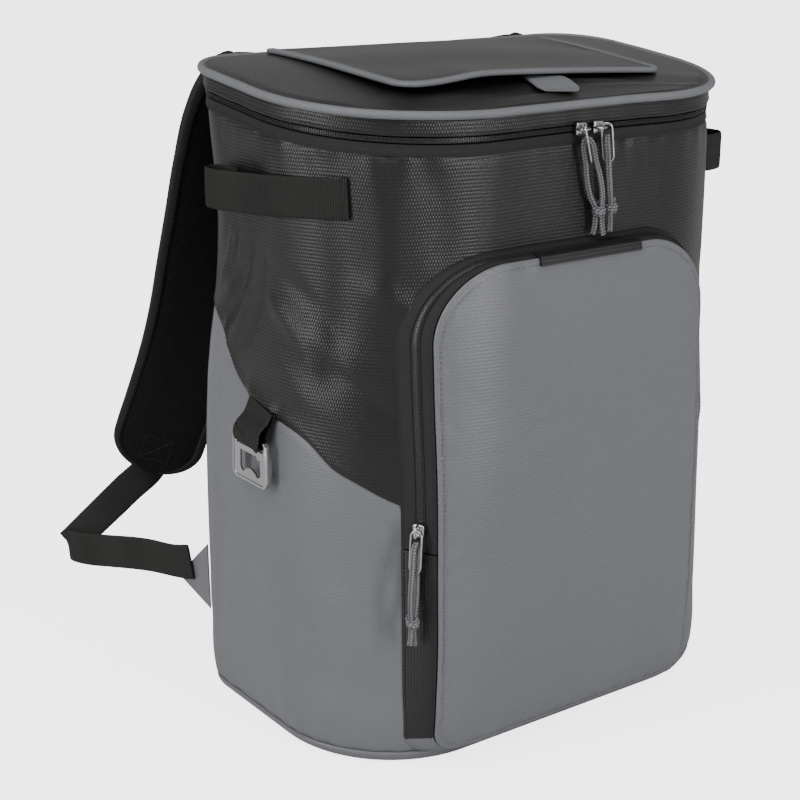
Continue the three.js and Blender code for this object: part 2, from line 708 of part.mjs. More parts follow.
function shoulderStrap(side, mirror) {
  const frames = strapFrames(mirror);
  const length = frames[frames.length - 1].run;
  const core = PAD_WIDTH / 2 - PAD_BINDING - 0.5;
  const round = length - PAD_WIDTH / 2;
  const shares = [0, 0.03, 0.06, 0.1, 0.15, 0.2, 0.26, 0.34, 0.42, 0.5, 0.6, 0.7, 0.8, 0.9, 1];
  const runs = shares.map((t) => t * round);
  const arc = [0.25, 0.5, 0.72, 0.88, 0.97].map((t) => round + core * t);
  const half = (run) => (run <= round ? core : Math.sqrt(Math.max(1, core ** 2 - (run - round) ** 2)));
  const pad = [...runs, ...arc].map((run) => {
    const w = half(run);
    const h = PAD_THICK / 2;
    const row = [[-w, -h * 0.85], [0, -h], [w, -h * 0.85], [w, h * 0.85], [0, h], [-w, h * 0.85]];
    return row.map(([a, b]) => strapPoint(frames, run, a, b));
  });
  const path = [];
  const out = PAD_WIDTH / 2 - PAD_BINDING / 2;
  for (const run of runs.slice(0, -1)) path.push({ run, across: -out, turn: [0, -1] });
  for (let i = 0; i <= 10; i += 1) {
    const a = -Math.PI / 2 + (Math.PI * i) / 10;
    const turn = [Math.cos(a), Math.sin(a)];
    path.push({ run: round + out * turn[0], across: out * turn[1], turn });
  }
  for (const run of runs.slice(0, -1).reverse()) path.push({ run, across: out, turn: [0, 1] });
  const binding = skin(path.map(({ run, across, turn }) => {
    const at = (d, h) => strapPoint(frames, run + turn[0] * d, across + turn[1] * d, h);
    const w = PAD_BINDING / 2;
    const h = PAD_THICK / 2;
    return [at(-w, -h * 0.9), at(w, -h * 0.55), at(w, h * 0.55), at(-w, h * 0.9)];
  }));
  const end = frameAt(frames, round);
  return group(
    piece(`strap_pad_${side}`, 'mesh', skin(pad)),
    piece(`strap_binding_${side}`, 'binding', binding),
    piece(`lower_webbing_${side}`, 'webbing', lowerWebbing(mirror, end)),
    piece(`strap_adjuster_${side}`, 'plastic', adjuster(end)),
    piece(`side_tab_${side}`, 'gray_coated', sideTab(mirror)),
  );
}

// Lower webbing: from the adjuster behind the pad's end out to a fold and back to the side tab
function lowerWebbing(mirror, end) {
  const seat = end.at.clone().addScaledVector(end.off, PAD_THICK / 2 + 4.6);
  const flip = (x, y, z) => V(x * mirror, y, z);
  const fold = flip(-1.057 * X, 2.84 * Y, 0.0955 * Z);
  const foldSide = flip(0, -0.69, -0.72);
  const rows = [-24, 8, 40].map((t) => {
    const at = seat.clone().addScaledVector(end.along, t);
    return { at, side: end.side };
  });
  const exit = seat.clone().addScaledVector(end.along, 40);
  for (const t of [0.2, 0.6, 1]) {
    rows.push({ at: exit.clone().lerp(fold, t), side: end.side.clone().lerp(foldSide, t) });
  }
  const back = [
    { at: flip(-1.062 * X, 2.72 * Y, 0.1 * Z), side: foldSide },
    { at: flip(-1.035 * X, 2.2 * Y, 0.132 * Z), side: flip(0, -0.55, -0.83) },
    { at: flip(-1 * X, 1.65 * Y, 0.165 * Z), side: flip(0, -0.35, -0.93) },
    { at: flip(-0.976 * X, 1.27 * Y, 0.182 * Z), side: flip(0, 0.25, -0.96) },
    { at: flip(-0.9755 * X, 1.1 * Y, 0.195 * Z), side: flip(0, 0.45, -0.9) },
  ];
  const strip = [...rows, ...back].map((r) => ({ ...r, width: WEBBING }));
  return band(strip, WEBBING_THICK);
}

function sideTab(mirror) {
  const flip = (x, y, z) => V(x * mirror, y, z);
  const low = [
    flip(-0.96 * X, 0.885 * Y, 0.243 * Z),
    flip(-0.96 * X, 1.32 * Y, 0.154 * Z),
    flip(-0.96 * X, 0.873 * Y, 0.13 * Z),
  ];
  return skin([0, 1.4].map((t) => low.map((p) => V(p.x - mirror * t, p.y, p.z))));
}

// Adjuster: a plastic frame that the webbing runs through, behind the end of the pad
function adjuster(end) {
  const bar = (shift, width, long) => toSolid(band([-1, 1].map((t) => ({
    at: end.at.clone()
      .addScaledVector(end.along, shift + t * long / 2)
      .addScaledVector(end.off, PAD_THICK / 2 + 2),
    side: end.side,
    width,
  })), 2.6));
  return toGeometry(bar(10, 34, 30).subtract(bar(18, 27, 6)).subtract(bar(4, 27, 9)));
}

// Bottle opener and the webbing loop that it swings in, on the left side
const OPENER_AT = { y: 0.08, z: 0.4815, off: 8.5 };

function openerCentre() {
  const z = OPENER_AT.z * Z;
  return V(-sectionAt(z).half - OPENER_AT.off, OPENER_AT.y * Y, z);
}

function opener() {
  const c = openerCentre();
  const { width, height, plate, rim, bar, slotHalf, slotDeep } = OPENER;
  const shape = (inset) => {
    const s = new THREE.Shape();
    const w = width / 2 - inset;
    const top = bar - inset * 0.4;
    const low = -height + bar + inset;
    const r = 5 - inset * 0.5;
    s.moveTo(-w + 3, top);
    s.lineTo(-w + 1, top - 2);
    s.lineTo(-w, low + r);
    s.absarc(-w + r, low + r, r, Math.PI, 1.5 * Math.PI, false);
    s.absarc(w - r, low + r, r, 1.5 * Math.PI, 2 * Math.PI, false);
    s.lineTo(w - 1, top - 2);
    s.lineTo(w - 3, top);
    s.closePath();
    return s;
  };
  const extrude = (s, depth) => {
    const g = new THREE.ExtrudeGeometry(s, { depth, bevelEnabled: false, curveSegments: 5 });
    g.translate(0, 0, -depth / 2);
    return g;
  };
  const mouth = new THREE.Shape();
  mouth.moveTo(-12, -9.5);
  mouth.lineTo(8, -9.5);
  mouth.lineTo(10.5, -12.5);
  mouth.lineTo(12.5, -10.5);
  mouth.lineTo(13, -22);
  mouth.quadraticCurveTo(9, -25.5, 6.5, -22.5);
  mouth.quadraticCurveTo(0, -17.5, -6.5, -22.5);
  mouth.quadraticCurveTo(-9, -25.5, -12.5, -22);
  mouth.closePath();
  const slot = new THREE.Shape();
  slot.moveTo(-slotHalf, -bar);
  slot.lineTo(-slotHalf, -slotDeep);
  slot.lineTo(slotHalf, -slotDeep);
  slot.lineTo(slotHalf, -bar);
  slot.closePath();
  const ring = toSolid(extrude(shape(0), rim)).subtract(toSolid(extrude(shape(1.6), rim + 2)));
  const plain = toSolid(extrude(shape(0.2), plate)).subtract(toSolid(extrude(mouth, plate + 2)));
  const solid = plain.add(ring).subtract(toSolid(extrude(slot, rim + 2)));
  const hung = piece('bottle_opener', 'metal', toGeometry(solid));
  hung.rotation.set(Math.PI / 2, 0, -Math.PI / 2, 'ZXY');
  hung.position.copy(c);
  return group(hung, openerLoop(c));
}

function openerLoop(c) {
  const r = OPENER.bar + 1.9;
  const wallX = (z) => -sectionAt(z).half - GAP - WEBBING_THICK;
  const top = c.z + 27;
  const path = [V(wallX(top) - 1.8, c.y - 5, top)];
  path.push(V(c.x - r, c.y - 1.5, c.z + 4));
  for (let i = 0; i <= 6; i += 1) {
    const a = Math.PI + (Math.PI * i) / 6;
    path.push(V(c.x + r * Math.cos(a), c.y, c.z + r * Math.sin(a)));
  }
  path.push(V(c.x + r, c.y - 1.5, c.z + 4));
  path.push(V(wallX(top) + 0.5, c.y - 5, top));
  const rows = path.map((at) => ({ at, side: V(0, 1, 0), width: OPENER_WEBBING }));
  return piece('opener_loop', 'webbing', band(rows, WEBBING_THICK));
}

// Zip slider: a block with a bridge on it. Its frame is x across the bridge's window,
// y outward and z along the window's posts.
function sliderSolid() {
  const block = (w, t, l, x, y, z) => toSolid(new THREE.BoxGeometry(w, t, l).translate(x, y, z));
  return block(8.6, 2.6, 9, 0, 1.3, 0)
    .add(block(2.2, 3.6, 2, 0, 4.2, -3.2))
    .add(block(2.2, 3.6, 2, 0, 4.2, 3.2))
    .add(block(2.2, 1.3, 8.4, 0, 6.2, 0));
}

// Long round-ended ring of wire: it hangs from its top, with its width along one direction
function bailPath(top, wide, hang, width, length) {
  const r = width / 2;
  const points = [];
  for (let i = 0; i <= 4; i += 1) {
    const a = (Math.PI * i) / 4;
    points.push([r * Math.cos(a), r - r * Math.sin(a)]);
  }
  for (let i = 0; i <= 4; i += 1) {
    const a = (Math.PI * i) / 4;
    points.push([-r * Math.cos(a), length - r + r * Math.sin(a)]);
  }
  return points.map(([s, t]) => top.clone().addScaledVector(wide, s).addScaledVector(hang, t));
}

// Cord loop through a bail: two strands run down to a knot, with two short ends below it
function pullCord(name, top, across, knot, bailEnd) {
  const side = (s, t) => top.clone().lerp(knot, t).addScaledVector(across, s);
  const half = [[1.7, 1], [3, 0.8], [3.1, bailEnd + 0.12], [3.1, bailEnd], [3.2, 0.2], [2.4, 0.02]];
  const strands = smooth([
    ...half.map(([s, t]) => side(-s, t)),
    side(0, -0.04),
    ...half.map(([s, t]) => side(s, t)).reverse(),
  ], 18);
  const ends = [-1, 1].map((s) => [3, 9, 16].map((t, i) => knot.clone()
    .addScaledVector(across, s * [1.5, 2, 3.4][i])
    .setZ(knot.z - t + (s + 1) * i)));
  const ball = new THREE.SphereGeometry(1, 7, 4).scale(4.2, 4, 5).translate(knot.x, knot.y, knot.z);
  const tubes = [strands, ...ends].map((path) => toSolid(tube(path, CORD, 5)));
  const solid = tubes.reduce((sum, strand) => sum.add(strand), toSolid(ball));
  return piece(name, 'cord', toGeometry(solid));
}

// Slider, bail and cord of one zip. On an upright zip the bail's top lies across the zip.
function zipPull(name, { at, out, upright, wide, bail, knot }) {
  const side = V(0, 0, 1).cross(out).normalize();
  const basis = upright
    ? new THREE.Matrix4().makeBasis(side, out, side.clone().cross(out))
    : new THREE.Matrix4().makeBasis(V(0, 0, 1), out, V(0, 0, 1).cross(out));
  const slider = piece(`${name}_slider`, 'metal', toGeometry(sliderSolid()));
  slider.quaternion.setFromRotationMatrix(basis);
  slider.position.copy(at);
  const reach = upright ? 0 : bail.width / 2;
  const top = at.clone().addScaledVector(out, 4.05).addScaledVector(wide, reach);
  top.z += upright ? 0.6 : 2.6;
  const hang = knot.clone().sub(top).normalize();
  const flat = wide.clone().addScaledVector(hang, -wide.dot(hang)).normalize();
  const ring = bailPath(top, flat, hang, bail.width, bail.length);
  const start = top.clone().addScaledVector(hang, bail.cordAt);
  const bailEnd = (bail.length - bail.cordAt) / start.distanceTo(knot);
  return group(
    slider,
    piece(`${name}_bail`, 'metal', tube(ring, WIRE, 5, true)),
    pullCord(`${name}_cord`, start, hang.clone().cross(flat).normalize(), knot, bailEnd),
  );
}

// Places of the lid's two sliders along the zip, and of their knots below the rim
const LID_PULLS = {
  drop: 15.2,
  off: 2.3,
  knotOff: 8,
  left: { x: -5.5, knotX: 7.5, knotDrop: 66, bailX: -0.585, bailY: -0.81 },
  right: { x: 8.5, knotX: 17.5, knotDrop: 65, bailX: 0.7, bailY: -0.714 },
};
const LID_BAIL = { width: 6.6, length: 24, cordAt: 10 };
const POCKET_BAIL = { width: 7.5, length: 27, cordAt: 10 };
const POCKET_KNOT = { drop: 58, off: 9 };

function pulls() {
  const forward = V(0, -1, 0);
  const onLid = (x, drop, off) => {
    const y = wallY(x, Z, -1);
    return V(x, y - off, rimHeight(x, y) - drop);
  };
  const lidPull = (side) => {
    const place = LID_PULLS[side];
    return zipPull(`lid_pull_${side}`, {
      at: onLid(place.x, LID_PULLS.drop, LID_PULLS.off),
      out: forward,
      upright: false,
      wide: V(place.bailX, place.bailY, 0),
      bail: LID_BAIL,
      knot: onLid(place.knotX, place.knotDrop, LID_PULLS.knotOff),
    });
  };
  const spot = gussetPoint(POCKET_INDEX.gusset + 0.35, 0.55, 1.3);
  const under = gussetPoint(POCKET_INDEX.gusset + 0.35, 0.55, 0);
  const off = spot.clone().sub(under).setZ(0).normalize();
  const front = zipPull('pocket_pull', {
    at: spot,
    out: off,
    upright: true,
    wide: V(0, 0, 1).cross(off),
    bail: POCKET_BAIL,
    knot: spot.clone().add(V(0, 0, -POCKET_KNOT.drop)).addScaledVector(off, POCKET_KNOT.off),
  });
  return group(lidPull('left'), lidPull('right'), front);
}

const bag = group(
  body(),
  lid(),
  pocket(),
  handle('side_handle_left', -1, HANDLE_LEFT, 0.22),
  handle('side_handle_right', 1, HANDLE_RIGHT, 0.08),
  shoulderStrap('left', 1),
  shoulderStrap('right', -1),
  opener(),
  pulls(),
);
bag.name = 'cooler_backpack';

export default bag;
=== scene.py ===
import math

import bmesh
import bpy
import numpy as np
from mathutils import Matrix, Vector


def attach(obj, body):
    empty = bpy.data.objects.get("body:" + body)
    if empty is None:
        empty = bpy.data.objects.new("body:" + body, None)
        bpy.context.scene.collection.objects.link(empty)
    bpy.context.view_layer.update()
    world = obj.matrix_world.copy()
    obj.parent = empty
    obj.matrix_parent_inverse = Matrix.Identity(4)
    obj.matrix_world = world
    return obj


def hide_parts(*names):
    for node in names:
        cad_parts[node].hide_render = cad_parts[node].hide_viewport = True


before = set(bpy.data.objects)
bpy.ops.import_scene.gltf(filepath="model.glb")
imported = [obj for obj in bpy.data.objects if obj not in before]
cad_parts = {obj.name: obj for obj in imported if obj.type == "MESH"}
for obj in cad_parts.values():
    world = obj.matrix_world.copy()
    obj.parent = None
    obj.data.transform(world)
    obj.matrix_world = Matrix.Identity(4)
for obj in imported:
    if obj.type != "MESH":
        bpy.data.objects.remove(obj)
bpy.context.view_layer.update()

bl_info = {
    "name": "Cooler Backpack",
    "version": (1, 0, 0),
    "blender": (4, 5, 0),
    "location": "View3D > Sidebar > Cooler Backpack",
    "description": "Dresses the bag in its fabric, trims, zips, straps and metal",
    "category": "Object",
}

MM = 0.001

# Body sections from the floor up: shares of half the width, half the depth and the height
SECTIONS = np.array([
    # z, half, front, back, front radius, back radius
    (0, 0.966, -0.956, 0.956, 0.48, 0.149),
    (0.028, 0.983, -0.985, 0.985, 0.503, 0.171),
    (0.139, 0.989, -0.995, 1.005, 0.526, 0.177),
    (0.301, 0.989, -0.995, 1.024, 0.543, 0.183),
    (0.463, 0.983, -0.995, 1.024, 0.554, 0.194),
    (0.579, 0.971, -0.976, 0.995, 0.56, 0.206),
    (0.694, 0.954, -0.976, 0.927, 0.566, 0.217),
    (0.81, 0.954, -0.976, 0.898, 0.571, 0.229),
    (0.926, 0.966, -0.976, 0.946, 0.6, 0.24),
    (1.05, 0.971, -0.976, 0.976, 0.611, 0.24),
])

# Height of the seam between dark and gray fabric along the side: y and z shares
SEAM = np.array([
    (-0.87, 0.41), (-0.775, 0.427), (-0.657, 0.447), (-0.54, 0.463), (-0.374, 0.497),
    (-0.137, 0.518), (0.052, 0.5265), (0.175, 0.534), (0.427, 0.568), (0.552, 0.6),
    (0.611, 0.617), (0.74, 0.64), (0.88, 0.655), (1, 0.66),
])

# Last outline column of each stretch, from the back's middle by the left side to the
# front's middle. The right side mirrors them.
BACK_END, BACK_CORNER_END, SIDE_END, FRONT_CORNER_END, FRONT_END = 3, 7, 14, 22, 25
COLUMNS = 2 * FRONT_END
ROUND = 520  # points round the bag of the walls and the lid

# Pocket outline on the body and at the panel's edge: shares, and corner radii in mm. Its
# middle is shifted to the left, and depths are in mm.
POCKET_BODY = {"half": 0.675, "top": 0.778, "bottom": 0.0235, "top_r": 56, "bottom_r": 14}
POCKET_PANEL = {"half": 0.6125, "top": 0.766, "bottom": 0.034, "top_r": 48, "bottom_r": 14}
POCKET_SHIFT = -0.064
POCKET_DEPTH = {"side": 19.5, "top": 14, "bottom": 12, "bulge": 3, "panel": 2.5}
POCKET_REACH = {"top": 60, "bottom": 90}  # heights over which the depth changes
POCKET_MIDDLE = 0.352
POCKET_TURN = 50  # columns once round the pocket, from its bottom middle
POCKET_TOP_STRIP = (22.65, 28.3)  # first and last column of the strip over the zip
FOLD_GAP = 0.3  # between pieces that lie on each other
POCKET_BOTTOM_END = 7.5
POCKET_STRIP_END = 11

# Lid: rise to the back and drop to the ends as shares of the height, then in mm the sag in
# the back's middle, the top face's height over the rim and its dome
RIM_RISE, RIM_DROP = 0.0282, 0.009
RIM_SAG = 6
LID_OVER, LID_DOME = 1.6, 3

FLAP = {"half": 0.62, "front": -0.585, "back": 0.92, "corner": 16}
FLAP_LIFT = np.array([(-0.62, 4.8), (-0.45, 4.6), (-0.28, 6.4), (-0.1, 5.4), (0.1, 3.9),
                      (0.3, 2.6), (0.62, 0.9)])
# How far the flap's back right corner lies in front of its back left one, in mm
FLAP_SLANT = 30
FLAP_GAP = 0.5

# Side handles seen from above: x and y shares. The right one stands out more near its
# front end.
HANDLE_END = [(1.046, 0.42), (1.038, 0.505), (1.002, 0.535), (0.972, 0.48), (0.9665, 0.38),
              (0.9665, 0.28)]
HANDLE_LEFT = np.array([
    (0.862, -0.6), (0.909, -0.475), (0.95, -0.335), (0.978, -0.2), (1.005, 0.02),
    (1.032, 0.25), *HANDLE_END,
])
HANDLE_RIGHT = np.array([
    (0.84, -0.65), (0.875, -0.575), (0.935, -0.525), (1.015, -0.46), (1.075, -0.34),
    (1.09, -0.15), (1.08, 0.05), (1.066, 0.25), *HANDLE_END,
])

# Shoulder strap's outer edge (x, y, z shares) and the direction across it, left side
STRAP = np.array([
    (-0.726, 1.002, 0.905, 1, 0, 0), (-0.726, 1.035, 0.953, 1, 0, -0.04),
    (-0.74, 1.13, 1.01, 1, 0, -0.1), (-0.754, 1.26, 1.001, 1, 0, -0.1),
    (-0.774, 1.39, 0.967, 1, 0, -0.06), (-0.797, 1.5, 0.917, 0.99, -0.05, -0.02),
    (-0.824, 1.6, 0.835, 0.98, -0.1, -0.02), (-0.844, 1.69, 0.75, 0.97, -0.18, -0.04),
    (-0.856, 1.8, 0.67, 0.95, -0.25, -0.08), (-0.862, 1.92, 0.59, 0.92, -0.33, -0.12),
    (-0.857, 2.16, 0.49, 0.88, -0.42, -0.18), (-0.857, 2.38, 0.41, 0.84, -0.48, -0.25),
    (-0.857, 2.62, 0.325, 0.8, -0.53, -0.28), (-0.857, 2.8, 0.25, 0.8, -0.53, -0.28),
])

# Creases of the body: start s and z, end s and z, width, height, all in mm.
# s runs along the outline from the front middle, negative to the left.
CREASES = np.array([
    (-268, 345, -296, 296, 6, 2.3), (-258, 330, -282, 284, 5, -1.9),
    (-290, 338, -306, 300, 5, 1.8), (-278, 318, -304, 262, 6, -2.0),
    (-264, 306, -290, 250, 6, 1.9), (-236, 330, -262, 268, 7, -1.5),
    (-228, 300, -190, 268, 7, 1.7), (-214, 318, -172, 284, 7, -1.5),
    (-160, 318, -118, 292, 8, 1.6), (-196, 284, -158, 262, 6, 1.2),
    (-150, 392, -146, 300, 11, 1.5), (-182, 395, -178, 250, 10, -1.4),
    (-120, 392, -112, 330, 10, -1.2), (-205, 250, -150, 215, 9, 1.4),
    (-180, 262, -132, 232, 7, -1.2), (-230, 392, -214, 350, 9, 1.2),
    (-301, 250, -303, 40, 6, -1.3), (-311, 240, -313, 60, 6, 1.0),
    (-300, 176, -284, 158, 5, 1.1), (-304, 150, -290, 128, 5, -0.9),
    (-250, 150, -236, 60, 14, 0.7), (-150, 150, -146, 40, 15, -0.8),
    (-172, 120, -176, 30, 10, 0.9), (-200, 100, -206, 26, 12, -0.7),
    (262, 372, 276, 318, 7, 1.2), (214, 318, 180, 280, 7, -0.8),
    (301, 250, 303, 40, 6, -1.2), (150, 392, 146, 300, 11, 0.8),
    (250, 150, 236, 60, 14, 0.7), (172, 120, 176, 30, 10, 0.8),
])


# ---- Sizes and colours a user would change ----

def length(name, description, default):
    return bpy.props.FloatProperty(name=name, description=description, default=default,
                                   min=0.0001, unit="LENGTH")


def tint(name, description, default):
    return bpy.props.FloatVectorProperty(name=name, description=description, default=default,
                                         size=3, min=0, max=1, subtype="COLOR")


class BagSizes(bpy.types.PropertyGroup):
    width: length("Width", "Width of the body", 0.35)
    depth: length("Depth", "Depth of the body without pocket and straps", 0.205)
    height: length("Height", "Height of the lid's rim at the middle", 0.432)
    wall: length("Wall", "Thickness of the padded wall", 0.006)
    base: length("Base", "Height of the base panel", 0.009)
    piping: length("Piping", "Radius of the lid's piping", 0.0027)
    webbing: length("Webbing", "Width of the webbing", 0.0254)
    webbing_thick: length("Webbing thickness", "Thickness of the webbing", 0.0016)
    pad_width: length("Pad width", "Width of a shoulder pad", 0.072)
    pad_thick: length("Pad thickness", "Thickness of a shoulder pad", 0.011)
    cord: length("Cord", "Diameter of the pull cords", 0.0036)
    wire: length("Wire", "Diameter of the bails' wire", 0.0015)
    stitch: length("Stitch", "Distance from stitch to stitch", 0.0032)
    weave: length("Weave", "Pitch of the coated fabric's weave", 0.0017)
    rib: length("Ribs", "Pitch of the webbing's ribs", 0.0016)


class BagColours(bpy.types.PropertyGroup):
    dark: tint("Dark fabric", "Upper fabric and lid", (0.0095, 0.0105, 0.009))
    gray: tint("Gray fabric", "Lower fabric and pocket panel", (0.135, 0.138, 0.15))
    trim: tint("Trim", "Piping, flap edge and tab", (0.14, 0.145, 0.155))
    black: tint("Black", "Zip tapes and teeth", (0.006, 0.0063, 0.0063))
    webbing: tint("Webbing", "Handles and straps", (0.013, 0.0125, 0.0115))
    mesh: tint("Mesh", "Inner face of the pads", (0.0045, 0.0045, 0.0045))
    metal: tint("Metal", "Opener, sliders and bails", (0.5, 0.505, 0.51))
    cord: tint("Cord", "Pull cords", (0.15, 0.15, 0.16))


# ---- Curves and the bag's form ----

def hermite(keys, values, at):
    """Smooth value of a table at the given keys. It passes through each entry."""
    keys = np.asarray(keys, float)
    values = np.asarray(values, float)
    slopes = np.gradient(values, keys, axis=0)
    at = np.clip(np.asarray(at, float), keys[0], keys[-1])
    i = np.clip(np.searchsorted(keys, at, side="right") - 1, 0, len(keys) - 2)
    h = keys[i + 1] - keys[i]
    t = (at - keys[i]) / h
    if values.ndim > 1:
        h, t = h[..., None], t[..., None]
    a = (1 + 2 * t) * (1 - t) ** 2 * values[i] + t * (1 - t) ** 2 * h * slopes[i]
    return a + t * t * (3 - 2 * t) * values[i + 1] + t * t * (t - 1) * h * slopes[i + 1]


def run_of(points):
    """Distance along a polyline at each of its points."""
    steps = np.linalg.norm(np.diff(points[:, :3], axis=0), axis=1)
    return np.concatenate([[0], np.cumsum(steps)])


def spaced(points, step):
    """Smooth path through points of any number of columns, at even steps along its first three."""
    points = np.asarray(points, float)
    keys = run_of(points)
    fine = hermite(keys, points, np.linspace(0, keys[-1], 60 * len(points)))
    run = run_of(fine)
    even = np.linspace(0, run[-1], max(3, int(round(run[-1] / step)) + 1))
    return np.stack([np.interp(even, run, fine[:, k]) for k in range(points.shape[1])], 1)


def unit(v):
    return v / np.maximum(np.linalg.norm(v, axis=-1, keepdims=True), 1e-12)


def ease(t):
    t = np.clip(t, 0, 1)
    return t * t * (3 - 2 * t)


def ripple(seed, length, count):
    """Smooth seeded noise between -1 and 1 at count points, with humps about length points long."""
    rng = np.random.default_rng(seed)
    knots = rng.uniform(-1, 1, int(count / length) + 4)
    at = np.arange(count) / length
    i = at.astype(int)
    t = ease(at - i)
    return knots[i] * (1 - t) + knots[i + 1] * t


class Form:
    """Surfaces of the bag that its pieces follow, in millimetres."""

    def __init__(self, sizes):
        self.x = sizes.width * 500
        self.y = sizes.depth * 500
        self.z = sizes.height * 1000
        self.wall = sizes.wall * 1000
        self.base = sizes.base * 1000
        fine = np.linspace(0, COLUMNS, 4001)
        ring = self.outline(fine, np.full_like(fine, self.z * 0.5))
        self.fine = fine
        self.run = run_of(ring)
        self.round = self.run[-1]
        self.front = np.interp(FRONT_END, fine, self.run)

    def section(self, z, grow=0.0):
        share = np.asarray(z, float) / self.z
        at = [hermite(SECTIONS[:, 0], SECTIONS[:, k], share) for k in range(1, 6)]
        return (at[0] * self.x + grow, at[1] * self.y - grow, at[2] * self.y + grow,
                at[3] * self.x + grow, at[4] * self.x + grow)

    def outline(self, column, z, grow=0.0):
        """Points of the body's outer face at columns and heights."""
        column, z = np.broadcast_arrays(np.asarray(column, float), np.asarray(z, float))
        c = np.mod(column, COLUMNS)
        mirrored = c > FRONT_END
        c = np.where(mirrored, COLUMNS - c, c)
        half, front, back, front_r, back_r = self.section(z, grow)
        ends = (0, BACK_END, BACK_CORNER_END, SIDE_END, FRONT_CORNER_END, FRONT_END)
        shares = [(c - first) / (last - first) for first, last in zip(ends, ends[1:])]
        a = np.clip(shares[1], 0, 1) * math.pi / 2
        b = np.clip(shares[3], 0, 1) * math.pi / 2
        side = back - back_r + (front + front_r - back + back_r) * shares[2]
        stretch = [c <= end for end in ends[1:5]]
        x = np.select(
            stretch,
            [-(half - back_r) * shares[0], -(half - back_r) - back_r * np.sin(a), -half,
             -(half - front_r) - front_r * np.cos(b)],
            -(half - front_r) * (1 - shares[4]))
        y = np.select(
            stretch,
            [back, back - back_r + back_r * np.cos(a), side,
             front + front_r - front_r * np.sin(b)],
            front)
        return np.stack([np.where(mirrored, -x, x), y, z + 0 * x], -1)

    def column_at(self, s):
        """Column at a distance s from the front middle, negative to the left."""
        return np.interp(np.mod(self.front + np.asarray(s, float), self.round), self.run, self.fine)

    def round_trip(self, count=ROUND):
        """Distances from the front middle, and their columns, once round the bag."""
        s = np.linspace(-self.front, self.round - self.front, count, endpoint=False)
        return s, self.column_at(s)

    def out(self, column, z):
        """Outward direction of the wall."""
        ahead = self.outline(np.asarray(column) + 0.05, z)
        behind = self.outline(np.asarray(column) - 0.05, z)
        above = self.outline(column, np.asarray(z) + 1.0)
        below = self.outline(column, np.asarray(z) - 1.0)
        return unit(np.cross(ahead - behind, above - below))

    def wall_y(self, x, z, side=-1):
        half, front, back, front_r, back_r = self.section(z)
        r = front_r if side < 0 else back_r
        over = np.maximum(0, np.abs(x) - (half - r))
        face = front if side < 0 else back
        return face - side * (r - np.sqrt(np.maximum(0, r * r - over * over)))

    def rim(self, x, y):
        sag = RIM_SAG * np.maximum(0, y / self.y) ** 2 * (1 - (x / self.x) ** 2)
        return self.z * (1 + RIM_RISE * (y / self.y) - RIM_DROP * (x / self.x) ** 2) - sag

    def rim_at(self, column):
        p = self.outline(column, np.full(np.shape(column), self.z))
        return self.rim(p[..., 0], p[..., 1])

    def seam(self, column):
        y = self.outline(column, np.full(np.shape(column), self.z * 0.5))[..., 1]
        return hermite(SEAM[:, 0], SEAM[:, 1], y / self.y) * self.z

    def lid_top(self, x, y):
        dome = LID_DOME * (1 - (x / self.x) ** 2) * (1 - np.abs(y / self.y) ** 2.6)
        return self.rim(x, y) + LID_OVER + np.maximum(0, dome)

    def flap(self, x, y, rise):
        """Point of the flap, a rise over its underside. Its front edge stands off the lid."""
        share = np.clip((FLAP["back"] - y / self.y) / (FLAP["back"] - FLAP["front"]), 0, 1)
        lift = hermite(FLAP_LIFT[:, 0], FLAP_LIFT[:, 1], x / self.x) * share ** 2
        right = np.clip(x / (2 * FLAP["half"] * self.x) + 0.5, 0, 1)
        y = y - FLAP_SLANT * right * (1 - share)
        return np.stack([x, y, self.lid_top(x, y) + FLAP_GAP + lift + rise], -1)

    def pocket(self, shape, index):
        """Pocket outline from the bottom middle by the left side to the top middle and round."""
        index = np.mod(np.asarray(index, float), POCKET_TURN)
        mirrored = index > POCKET_TURN / 2
        i = np.where(mirrored, POCKET_TURN - index, index)
        a = shape["half"] * self.x
        low, high = shape["bottom"] * self.z, shape["top"] * self.z
        tr, br = shape["top_r"], shape["bottom_r"]
        middle = POCKET_MIDDLE * self.z
        share = np.interp(i, [0, 1, 2, 3, 4, 5], [0, 0.38, 0.66, 0.78, 0.89, 1])
        b = np.clip((i - 5) / 3, 0, 1) * math.pi / 2
        t = np.clip((i - 14) / 7, 0, 1) * math.pi / 2
        x = np.select(
            [i <= 5, i <= 8, i <= 14, i <= 21],
            [-(a - br) * share, -(a - br) - br * np.sin(b), -a + 0 * i, -a + tr - tr * np.cos(t)],
            -(a - tr) * (1 - (i - 21) / 4))
        z = np.select(
            [i <= 5, i <= 8, i <= 11, i <= 14, i <= 21],
            [low + 0 * i, low + br - br * np.cos(b),
             low + br + (middle - low - br) * (i - 8) / 3,
             middle + (high - tr - middle) * (i - 11) / 3, high - tr + tr * np.sin(t)],
            high + 0 * i)
        return POCKET_SHIFT * self.x + np.where(mirrored, -x, x), z

    def pocket_depth(self, z):
        reach = POCKET_REACH
        top = np.clip((z - POCKET_BODY["top"] * self.z) / reach["top"] + 1, 0, 1)
        low = np.clip((POCKET_BODY["bottom"] * self.z - z) / reach["bottom"] + 1, 0, 1)
        side = POCKET_DEPTH["side"]
        return (side - (side - POCKET_DEPTH["top"]) * top ** 2
                - (side - POCKET_DEPTH["bottom"]) * low ** 2)

    def gusset(self, index, across, out):
        """Point on the pocket's side between the body (0) and the panel's edge (1)."""
        index = np.asarray(index, float)

